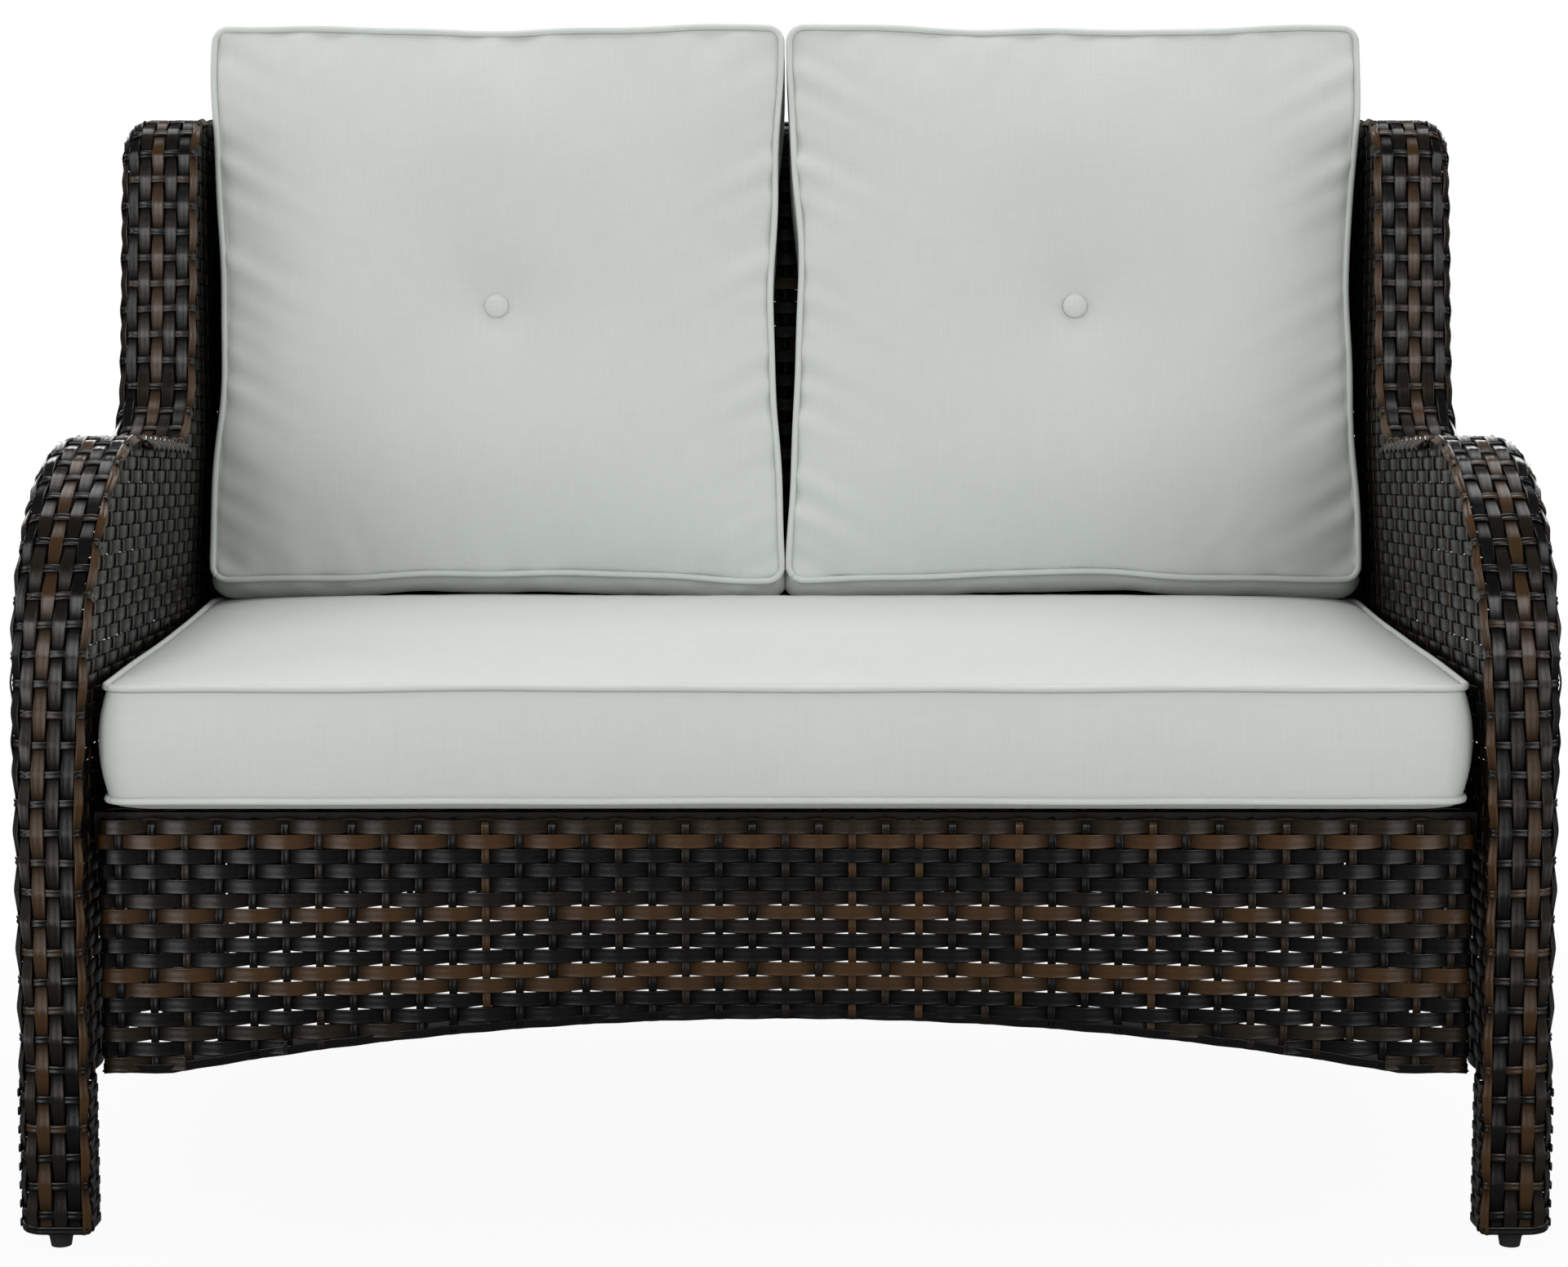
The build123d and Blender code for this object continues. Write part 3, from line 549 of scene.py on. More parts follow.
def bandSurface(route, side):
    corner = band["corner"]
    arc = corner * pi / 2

    def surface(a, b):
        y, z, heading = along(route, a)
        inner = innerX(z)
        edge = edgeAt(z)
        flat = xOuter - edge - inner - corner
        turn = np.clip(b / corner, 0, pi / 2)
        roll = np.clip((b - arc - flat) / edge, 0, pi / 2)
        before = np.minimum(b, 0)
        after = np.maximum(b - arc - flat - edge * pi / 2, 0)
        x = inner + corner - corner * np.cos(turn) + np.clip(b - arc, 0, flat) + edge * np.sin(roll)
        inset = corner * (1 - np.sin(turn)) - before + edge * (1 - np.cos(roll)) + after
        return np.stack([side * x, y + inset * np.sin(heading), z - inset * np.cos(heading)], axis=1)

    return surface


def weaveBand(name, side, route, node, seed, wrapStart, hemAtEnd):
    strands = newStrands(seed)
    surface = bandSurface(route, side)
    total = route["reach"][-1]
    facing = -side
    pitch = weave["wrapPitch"]

    def widthAt(a):
        z = along(route, a)[1]
        return band["corner"] * (pi / 2 - 1) + xOuter - innerX(z) + edgeAt(z) * (pi / 2 - 1)

    cordMiddle = band["corner"] * pi / 4
    columns = [(cordMiddle, weave["cordWidth"], band["cordTone"], doubleStrand, band["cordThickness"])]
    for number, tone in enumerate(band["columnTones"]):
        middle = cordMiddle + weave["cordWidth"] / 2 + weave["columnPitch"] * (number + 0.5)
        columns.append((middle, weave["columnWidth"], tone, beadedStrand, band["columnThickness"]))
    fine = np.arange(0, total, 2.0)
    reaches = widthAt(fine) + band["edgeLap"]
    for number, (middle, width, tone, section, thickness) in enumerate(columns):
        for low, high in runsWithin(reaches > middle + width / 2, fine, band["shortestColumn"]):
            a = stepsBetween(low, high, wrapStart, pitch, band["columnShares"])
            wave = crestWave((a - wrapStart) / pitch + number)
            half = width / 2 * (1 - band["columnPinch"] * (1 - wave) / 2)
            sway = band["sway"] * np.sin(a * band["swayTurn"] + number * 2)
            lift = wave * band["columnRise"] + (0 if number else band["cordLift"])
            # the last argument paints shade where a column dips under a wrap, and sets its gloss
            layStrand(strands, surface, a, middle + sway, lift, facing, half, tone, section, thickness, (wave + 1) / 2)
    a = stepsBetween(0, total, wrapStart, pitch, (0, 0.25, 0.5, 0.75))
    half = (band["selvage"] + (edgeAt(along(route, a)[1]) - loveseat["edgeRadius"]) * (pi / 2 - 1)) / 2
    # the sunk selvage strand takes a low value: painted shade and little gloss
    layStrand(strands, surface, a, widthAt(a) - half + band["selvageLap"], -band["selvageSink"], facing, half,
              band["selvageTone"], plainStrand, band["selvageThickness"], band["selvageShadeAndPolish"])
    middles = [column[0] for column in columns]
    numbers = np.arange(len(columns))
    for count in range(int(total / pitch) + 1):
        spot = wrapStart + pitch * count
        if spot > total - band["endRoom"]:
            continue
        b = np.arange(-band["overhang"], widthAt(spot) + band["overhang"], band["wrapStep"])
        wave = np.cos(pi * (np.interp(b, middles, numbers) + count + 1))
        tone = pickTone(strands) * band["wrapToneShare"]
        a = spot + band["wrapSway"] * np.sin(b * band["wrapSwayTurn"] + count)
        # the last argument paints shade where a wrap dips under a column
        layStrand(strands, surface, a, b, wave * band["wrapRise"], facing, weave["wrapWidth"] / 2, tone,
                  doubleStrand, band["wrapThickness"], (wave + 1) / 2)
    hem = total - band["hemInset"] if hemAtEnd else band["hemInset"]
    b = np.arange(-band["overhang"], widthAt(hem) + band["overhang"], band["wrapStep"])
    # the hem's fixed value darkens its colour a little and lowers its gloss
    layStrand(strands, surface, hem, b, band["hemLift"], facing, band["hemWidth"] / 2, band["hemTone"],
              doubleStrand, band["wrapThickness"], band["hemShadeAndPolish"])
    weaveMesh(name, strands, resinStrand, [node])


def cutRoute(route, low, high):
    keep = (route["reach"] >= low) & (route["reach"] <= high)
    return {key: value[keep] - (low if key == "reach" else 0) for key, value in route.items()}


bothSides = ((1, "right"), (-1, "left"))
outline = sideOutline(0, loveseat["glideHeight"])
pastJoint = (outline["u"] > yRear - loveseat["bandJointSetback"]) & (outline["v"] > 900)
jointReach = outline["reach"][np.argmax(pastJoint)]
frontRoute = cutRoute(outline, 0, jointReach)
rearRoute = cutRoute(outline, jointReach, outline["reach"][-1])
for side, label in bothSides:
    weaveBand(label + "ArmBandWeave", side, frontRoute, label + "_arm_band", 11 + side, 16, False)
    weaveBand(label + "RearBandWeave", side, rearRoute, label + "_rear_band", 31 + side, 9, True)
print("bands woven")

# Side panels inside and outside each arm.
sidePanel = {
    "fill": 0.97, "firstStake": 12, "innerInset": 5, "innerRise": 1.15, "innerTone": 0.3, "innerShadeAndPolish": 0.5,
    "innerToneSpread": 0.1, "crownSteps": (0, 4, 8, 12),
}


def panelRows(strands, within, surfaceLow):
    pitch = weave["rowPitch"]
    levelRows = (loveseat["armHeight"] - panelBottom) / pitch
    fall = tan(radians(loveseat["armSlope"]))
    fine = np.arange(yFront, yRear, 2.0)
    rows = []
    for number in range(int((loveseat["wingHeight"] - panelBottom) / pitch) + 8):
        start = panelBottom + pitch * (number + 0.5)
        slope = fall * min(1, number / levelRows)
        tight = fall / levelRows if number < levelRows else 0

        def line(y, start=start, slope=slope):
            return start - slope * (y - yFront)

        def room(y, tight=tight):
            return pitch - tight * (y - yFront)

        inside = within(fine, line(fine)) & (line(fine) > surfaceLow)
        rows.append((number, line, room, runsWithin(inside, fine), pickTone(strands)))
    return rows


def panelStakes(strands, within, rows, surfaceLow):
    pitch = weave["stakePitch"]
    fine = np.arange(surfaceLow, loveseat["wingHeight"], 2.0)
    stakes = []
    for number in range(int((yRear - yFront) / pitch) + 1):
        y = yFront + sidePanel["firstStake"] + pitch * number
        inside = within(np.full(len(fine), y), fine)
        crossings = np.array([(row[0], row[1](y)) for row in rows])
        tone = pickTone(strands) * weave["stakeToneShare"]
        stakes.append((number, y, runsWithin(inside, fine), crossings, tone))
    return stakes


def weaveSidePanel(name, side, x, facing, inset, node, seed):
    strands = newStrands(seed)
    inner = facing * side < 0
    crownInsets = (0,) if inner else sidePanel["crownSteps"]
    masks = [sideOutline(inset + extra, panelBottom) for extra in crownInsets]

    def within(y, z):
        # the outer panel ends lower where the crown's edge is rounder
        inside = insideOutline(masks[0], y, z)
        for extra, mask in zip(crownInsets[1:], masks[1:]):
            inside &= (edgeAt(z) < loveseat["edgeRadius"] + extra - 2) | insideOutline(mask, y, z)
        return inside if inner else inside & (z < loveseat["wingHeight"] - band["crownRadius"] + band["crownLap"])

    def surface(a, b):
        return np.stack([side * x(b), a, b], axis=1)

    rows = panelRows(strands, within, panelBottom + 2)
    stakes = panelStakes(strands, within, rows, panelBottom)
    choices = {}
    if inner:
        rows = [(*row[:4], sidePanel["innerTone"] + sidePanel["innerToneSpread"] * row[4]) for row in rows]
        # the inner panels take about half the value: painted shade on their strands and less gloss
        choices = {"rise": sidePanel["innerRise"], "shadeAndPolish": sidePanel["innerShadeAndPolish"]}
    weavePatch(strands, surface, rows, stakes, yFront + sidePanel["firstStake"], facing, fill=sidePanel["fill"],
               **choices)
    weaveMesh(name, strands, resinStrand, [node])


for side, label in bothSides:
    weaveSidePanel(label + "InnerPanelWeave", side, innerX, -side, sidePanel["innerInset"], label + "_inner_panel",
                   51 + side)
    weaveSidePanel(label + "OuterPanelWeave", side, lambda z: z * 0 + xOuter, side,
                   loveseat["edgeRadius"] + 1, label + "_outer_panel", 71 + side)
print("side panels woven")


# Flat patches: rows across X, stakes running up a route.
def weaveAcross(name, surface, lowB, highB, halfRoom, node, seed, stakeStep=weave["stakeStep"]):
    strands = newStrands(seed)
    count = round((highB - lowB) / weave["rowPitch"])
    rowPitch = (highB - lowB) / count
    rows = []
    for number in range(count):
        middle = lowB + rowPitch * (number + 0.5)
        reach = halfRoom(middle)
        rows.append((number, lambda a, middle=middle: a * 0 + middle, lambda a: a * 0 + rowPitch, [(-reach, reach)],
                     pickTone(strands)))
    crossings = np.array([(row[0], row[1](0.0)) for row in rows])
    pitch = weave["stakePitch"]
    half = int(halfRoom(highB) / pitch)
    stakes = [(number, number * pitch, [(lowB, highB)], crossings, pickTone(strands) * weave["stakeToneShare"])
              for number in range(-half, half + 1)]
    weavePatch(strands, surface, rows, stakes, stakeStep=stakeStep)
    weaveMesh(name, strands, resinStrand, [node])


def leanPoint(back, up):
    return yBack + back * cos(lean) + up * sin(lean), deckHeight + up * cos(lean) - back * sin(lean)


def backFrontSurface(a, b):
    y, z = leanPoint(0, b)
    return np.stack([a, y, z], axis=1)


capBottom = loveseat["wingHeight"] - loveseat["capDepth"]
frontRun = (capBottom - deckHeight) / cos(lean)
weaveAcross("backFrontWeave", backFrontSurface, 2, frontRun, lambda b: innerX(leanPoint(0, b)[1]) - 2,
            "back_front_panel", 91)

rearPart = cutRoute(outline, *[outline["reach"][np.argmax((outline["u"] > 250) & (outline["v"] < level))]
                               for level in (capBottom, panelBottom)])


def routeSurface(route):
    def surface(a, b):
        y, z, heading = along(route, b)
        return np.stack([a, y, z], axis=1)

    return surface


weaveAcross("backRearWeave", routeSurface(rearPart), 0, rearPart["reach"][-1],
            lambda b: innerX(along(rearPart, b)[1]) - 2, "back_rear_panel", 92, stakeStep=5.0)

rearLine = sideLines(0)[-2]
frontLine = (yBack, deckHeight, 90 - loveseat["backAngle"])
lowLine, highLine = (0, capBottom, 0), (0, loveseat["wingHeight"], 0)
capCorners = [meet(frontLine, lowLine), meet(frontLine, highLine), meet(rearLine, highLine), meet(rearLine, lowLine)]
capRoute = roundedRoute(capCorners, [loveseat["capRadius"]] * 2, 1.0)
weaveAcross("backCapWeave", routeSurface(capRoute), 0, capRoute["reach"][-1], lambda b: xArmInner - 2, "back_cap", 93)


def deckSurface(a, b):
    return np.stack([a, b, a * 0 + deckHeight], axis=1)


yApron = yFront + loveseat["apronSetback"]
yApronBack = yApron + loveseat["apronDepth"]
weaveAcross("seatDeckWeave", deckSurface, yApronBack + 1, yRear - loveseat["rearLegInset"] - 4,
            lambda b: xLegInner - 2, "seat_deck", 94)
print("back and deck woven")

# Front apron: rows fan a little closer together towards the middle, over an arched edge.
apron = {
    "rows": 17,
    "rowRise": 1.75,
    "rowShares": (0, 0.13, 0.32, 0.5, 0.68, 0.87),
    "rowTones": (0.55, 0.92, 0.1, 0.08, 0.12, 0.3, 0.85, 0.35, 0.08, 0.15, 0.88, 0.8, 0.1, 0.1, 0.5, 0.12, 0.55),
    "fan": 0.055,
    "fanWidth": 430,
    "closed": 0.55,
    "closedWidth": 280,
    "archClearance": 0.55,
    "stakeStep": 2.4,
    "edgeRadius": 6,
    "topReturn": 12,
    "lowReturn": 10,
    "endReturn": 14,
    "edgeStrand": 9,
    "edgeDrops": (4.2, -5.0),
    "edgeRise": 0.7,
    "edgeTone": 0.12,
}
xApron = xLegInner - loveseat["apronEndGap"]
apronTop = deckHeight - loveseat["apronTopDrop"]
xArch = xApron - loveseat["apronFlat"]
archRadius = (xArch**2 + loveseat["apronRise"]**2) / (2 * loveseat["apronRise"])


def archLift(x):
    inside = np.maximum(archRadius**2 - np.minimum(np.abs(x), xArch)**2, 0)
    return loveseat["apronRise"] - archRadius + np.sqrt(inside)


def apronSurface(a, b):
    radius = apron["edgeRadius"]

    def rounded(value, edge):
        over = value - (edge - radius)
        turn = np.clip(over / radius, 0, pi / 2)
        past = np.maximum(over - radius * pi / 2, 0)
        return np.minimum(value, edge - radius) + radius * np.sin(turn), radius * (1 - np.cos(turn)) + past

    x, endDepth = rounded(np.abs(a), xApron)
    z, topDepth = rounded(b, apronTop)
    low = panelBottom + archLift(a)
    under, lowDepth = rounded(-z, -low)
    z = np.where(z < low + radius, -under, z)
    depth = np.sqrt(endDepth**2 + topDepth**2 + np.where(b < low + radius, lowDepth, 0) ** 2)
    return np.stack([np.sign(a) * x, yApron + depth, z], axis=1)


def fanned(a):
    return apron["fan"] * bell(a, apron["fanWidth"])


def weaveApron():
    strands = newStrands(101)
    rowPitch = (apronTop - panelBottom) / apron["rows"]
    reach = xApron + apron["endReturn"]
    fine = np.arange(-reach, reach + 1, 2.0)
    rows = []
    for number in range(-1, apron["rows"]):
        top = apronTop - rowPitch * (number + 0.5)

        def line(a, top=top):
            return top + (apronTop - top) * fanned(a)

        def room(a):
            return rowPitch * (1 - fanned(a))

        inside = line(fine) > panelBottom + archLift(fine) + rowPitch * apron["archClearance"]
        if number < 0:
            inside &= np.abs(fine) < xApron - 2
        rows.append((-number, line, room, runsWithin(inside, fine), apron["rowTones"][max(number, 0)]))
    stakes = []
    pitch = weave["stakePitch"]
    half = int(xApron / pitch)
    for number in range(-half, half + 1):
        a = number * pitch
        low = panelBottom + archLift(a)
        crossings = np.array(sorted(((row[0], row[1](a)) for row in rows), key=lambda item: item[1]))
        runs = [(low - apron["lowReturn"], apronTop + apron["topReturn"])]
        stakes.append((number, a, runs, crossings, pickTone(strands)))
    weavePatch(strands, apronSurface, rows, stakes, rowSection=beadedStrand, stakeSection=doubleStrand,
               rise=apron["rowRise"], rowShares=apron["rowShares"], stakeStep=apron["stakeStep"],
               opening=lambda a: 1 - apron["closed"] * bell(a, apron["closedWidth"]))
    a = stepsBetween(-xApron, xApron, 0, pitch, weave["rowShares"])
    for number, drop in enumerate(apron["edgeDrops"]):
        wave = crestWave(a / pitch + number + 1)
        layStrand(strands, apronSurface, a, panelBottom + archLift(a) + drop, wave * apron["edgeRise"], 1,
                  apron["edgeStrand"] / 2, apron["edgeTone"], beadedStrand)
    weaveMesh("frontApronWeave", strands, resinStrand, ["front_apron"])


weaveApron()
print("apron woven")

# Leg sleeves: double wraps stacked round the leg's other three faces.
sleeve = {
    "pitch": 8.0,
    "cornerRadius": 8,
    "columns": 6,
    "columnInset": 8,
    "columnWidth": 6.0,
    "columnRise": 0.5,
    "columnTone": 0.1,
    "wrapFill": 0.98,
    "wrapRise": 0.8,
    "wrapThickness": 1.8,
    "toneShare": 0.4,
    "lap": 4,
    "steps": 60,
}


def weaveSleeve(name, side, yBand, yFar, way, node, seed):
    strands = newStrands(seed)
    route = roundedRoute([
        (xLegInner, yBand + way * sleeve["lap"]), (xLegInner, yFar), (xOuter, yFar),
        (xOuter, yBand + way * loveseat["edgeRadius"]),
    ], [sleeve["cornerRadius"]] * 2, 1.0)

    def surface(a, b):
        x, y, heading = along(route, a)
        return np.stack([side * x, y, b], axis=1)

    facing = side * way
    total = route["reach"][-1]
    low, high = loveseat["glideHeight"], panelBottom
    count = round((high - low) / sleeve["pitch"])
    pitch = (high - low) / count
    columns = np.linspace(sleeve["columnInset"], total - sleeve["columnInset"], sleeve["columns"])
    a = np.linspace(0, total, sleeve["steps"])
    for number in range(count):
        wave = np.cos(pi * (np.interp(a, columns, np.arange(len(columns))) + number))
        layStrand(strands, surface, a, low + pitch * (number + 0.5), wave * sleeve["wrapRise"], facing,
                  pitch * sleeve["wrapFill"] / 2, pickTone(strands) * sleeve["toneShare"], doubleStrand,
                  sleeve["wrapThickness"])
    up = np.linspace(low, high, sleeve["steps"])
    for number, column in enumerate(columns):
        wave = np.cos(pi * ((up - low) / pitch - 0.5 + number + 1))
        layStrand(strands, surface, column, up, wave * sleeve["columnRise"], facing, sleeve["columnWidth"] / 2,
                  sleeve["columnTone"], plainStrand)
    weaveMesh(name, strands, resinStrand, [node])


yLegRear = yRear - loveseat["rearLegInset"]
for side, label in bothSides:
    weaveSleeve(label + "FrontSleeveWeave", side, yFront, yFront + loveseat["frontLegDepth"], 1,
                label + "_front_leg_sleeve", 121 + side)
    weaveSleeve(label + "RearSleeveWeave", side, yLegRear, yLegRear - loveseat["rearLegDepth"], -1,
                label + "_rear_leg_sleeve", 131 + side)

# The plaited braid along each arm's inner top edge.
braid = {
    "tones": (0.2, 0.75, 0.4), "sway": 4.0, "depth": 1.8, "proud": 2.4, "turn": 66, "strandWidth": 7.6,
    "thickness": 3.2, "gap": 5.0, "step": 1.6,
}


def weaveBraid(name, side, node, seed):
    strands = newStrands(seed)
    low, high = [Vector(corner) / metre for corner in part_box(node)]
    y = np.linspace(low.y, high.y, int((high.y - low.y) / braid["step"]))
    z = np.linspace(high.z - braid["gap"], low.z + braid["gap"], len(y))
    fall = (z[-1] - z[0]) / (y[-1] - y[0])
    up = np.array((0, -fall, 1)) / np.hypot(1, fall)
    inward = np.array((-1.0, 0, 0))
    proud, across = (up + inward) / np.sqrt(2), (up - inward) / np.sqrt(2)
    spine = np.stack([innerX(z) - braid["gap"] + 1, y, z], axis=1)
    normal = np.tile(proud, (len(y), 1))
    mirrored = (side, 1, 1)
    for number, tone in enumerate(braid["tones"]):
        turn = 2 * pi * (y - y[0]) / braid["turn"] + 2 * pi * number / 3
        sway, rise = braid["sway"] * np.sin(turn), braid["depth"] * np.sin(2 * turn)
        middle = spine + sway[:, None] * across + (rise + braid["proud"])[:, None] * proud
        addStrand(strands, middle * mirrored, normal * mirrored, braid["strandWidth"] / 2, braid["thickness"], tone,
                  doubleStrand)
    weaveMesh(name, strands, resinStrand, [node])


for side, label in bothSides:
    weaveBraid(label + "ArmBraidPlait", side, label + "_arm_braid", 141 + side)
print("sleeves and braids woven")

# Cushions: rounded quad grids between pinned seams, filled by a short cloth simulation.
fabric = {"colour": (0.533, 0.56, 0.535), "light": (0.577, 0.604, 0.579), "rough": 0.82, "threadPitch": 1.3,
          "trimThreadPitch": 1.6}
filling = {"frames": 16, "stillFrames": 2, "quality": 6, "capRise": 24, "buttonHold": 11}
pipe = {"radius": 3.2, "sides": 8, "proud": 1.6, "perPair": 3}
button = {"radius": 11.6, "high": 3.6, "lift": 2.8, "rings": 6, "sides": 28, "skirtShare": 0.9, "skirtDrop": 4}

seatCushion = {
    "low": 13, "high": 108, "crown": 15, "crownShape": 0.5, "flatness": 5.0, "bulge": 9, "inset": 5, "corner": 18,
    "draws": (2, 2, 2), "footBulge": 7, "footLift": 0, "pitch": 9.5, "bands": 10, "pressure": 2.2, "slack": 0.002,
    "wave": (1.6, 1.8), "pucker": 1.6, "foot": 45, "capRise": 7, "seed": 201,
}
backCushion = {
    "low": 9.3, "high": 93.3, "crown": 26, "crownShape": 0.74, "flatness": 2.6, "bulge": 3, "inset": 3, "corner": 13,
    "draws": (11, 5, 7), "footBulge": 21, "footLift": 17, "pitch": 9, "bands": 9, "pressure": 2.4, "slack": 0.002,
    "wave": (3.4, 2.6), "pucker": 12.0, "foot": 26, "tuftDepth": 17, "tuftReach": 54, "buttonRoom": 13, "buttonRise": 5,
    "seed": 211,
}
# Waves of the seams: turns round the cushion, the lower seam's share, and the width beside a seam.
seam = {"turns": (4, 7, 11, 17), "lowShare": 0.5, "margin": 3, "crease": 0.7}
# Room round the loose cushions, and the back cushions' half height and their middle above the deck.
seating = {
    "frontGap": 14, "backGap": 6, "sideGap": 13, "lift": 0.3,
    "middleGap": 2.5, "armGap": 6.5, "backHalfHeight": 281, "backMiddle": 389,
}
# Folds: wavelengths, how far they reach in from an edge, and how they slant.
folding = {
    "sideWaves": (31, 44, 57, 83), "sideSlant": 0.55, "sideReach": 34, "strengthWaves": (210, 330), "leftMore": 0.1,
    "endWaves": (47, 61, 90), "endSlant": 0.3, "endReach": 26, "endShare": 0.3, "edgeRoom": 9,
    "faceWaves": (190, 260), "faceShare": 0.14, "faceRoom": 60, "seamDip": 1.6, "seamWidth": 2.5,
    "gatherDepth": 0.7, "gatherReach": 20, "gatherRoom": 14,
}


def fabricMaterial():
    material, shader = newMaterial("cushionCloth")
    cloth = attributeOf(shader, "cloth", "Vector")
    turns = 2 * pi / (fabric["threadPitch"] * metre)
    warp, weft = [calc("SINE", calc("MULTIPLY", part, turns)) for part in separated(cloth)[:2]]
    threads = calc("MULTIPLY", warp, weft)
    slubs = calc("ADD", noise(cloth, (900, 26, 4), detail=2), noise(cloth, (26, 900, 4), detail=2))
    shade = calc("MULTIPLY_ADD", threads, 0.05, calc("MULTIPLY", slubs, 0.5))
    shade = calc("MULTIPLY_ADD", noise(cloth, (7, 7, 7)), 0.35, calc("SUBTRACT", shade, 0.17))
    setInputs(shader, {
        "Base Color": ramp(shade, [(0.32, fabric["colour"]), (0.7, fabric["light"])]),
        "Roughness": fabric["rough"],
        "Specular IOR Level": 0.25,
        "Sheen Weight": 0.12,
        "Sheen Roughness": 0.4,
    })
    bump(shader, calc("MULTIPLY_ADD", threads, 0.35, slubs), 0.25, 0.0004)
    return material


def trimMaterial():
    material, shader = newMaterial("pipingCloth")
    lay = attributeOf(shader, "lay", "Vector")
    parts = separated(lay)
    slanted = calc("MULTIPLY_ADD", parts[1], 0.003, parts[0])
    threads = calc("SINE", calc("MULTIPLY", slanted, 2 * pi / (fabric["trimThreadPitch"] * metre)))
    shade = calc("MULTIPLY_ADD", threads, 0.08, noise(lay, (22, 1, 1)))
    setInputs(shader, {
        "Base Color": ramp(shade, [(0.3, fabric["colour"]), (0.7, fabric["light"])]),
        "Roughness": fabric["rough"],
        "Specular IOR Level": 0.25,
    })
    bump(shader, threads, 0.2, 0.0003)
    return material


cushionCloth = fabricMaterial()
pipingCloth = trimMaterial()


def ripple(spots, chance, wavelengths):
    total = np.zeros(len(spots))
    for length in wavelengths:
        total += np.sin(spots * 2 * pi / length + chance.uniform(0, 2 * pi)) * chance.uniform(0.5, 1)
    return total / len(wavelengths)


def cushionPlan(form, halfX, halfY):
    # a square grid whose corners are drawn into arcs, and whose sides pull in between them
    lines = []
    for half in (halfX, halfY):
        inside = half - form["pitch"]
        middle = np.linspace(-inside, inside, round(2 * inside / form["pitch"]) + 1)
        lines.append(np.concatenate([[-half, seam["margin"] - half], middle, [half - seam["margin"], half]]))
    x, y = np.meshgrid(*lines)
    radius = form["corner"]
    overX = np.clip((np.abs(x) - halfX + radius) / radius, 0, 1)
    overY = np.clip((np.abs(y) - halfY + radius) / radius, 0, 1)
    planX = x - np.sign(x) * radius * overX * (1 - np.sqrt(1 - overY**2 / 2))
    planY = y - np.sign(y) * radius * overY * (1 - np.sqrt(1 - overX**2 / 2))
    side, top, bottom = form["draws"]
    ends = np.where(y > 0, top, bottom)
    planX = planX * (1 - side / halfX * np.cos(pi / 2 * y / halfY) ** 2)
    planY = planY * (1 - ends / halfY * np.cos(pi / 2 * x / halfX) ** 2)
    planY = planY - form["footLift"] * np.minimum(y, 0) / halfY
    return x, y, planX, planY


def perimeter(number):
    return np.concatenate([number[0, :-1], number[:-1, -1], number[-1, :0:-1], number[:0:-1, 0]])


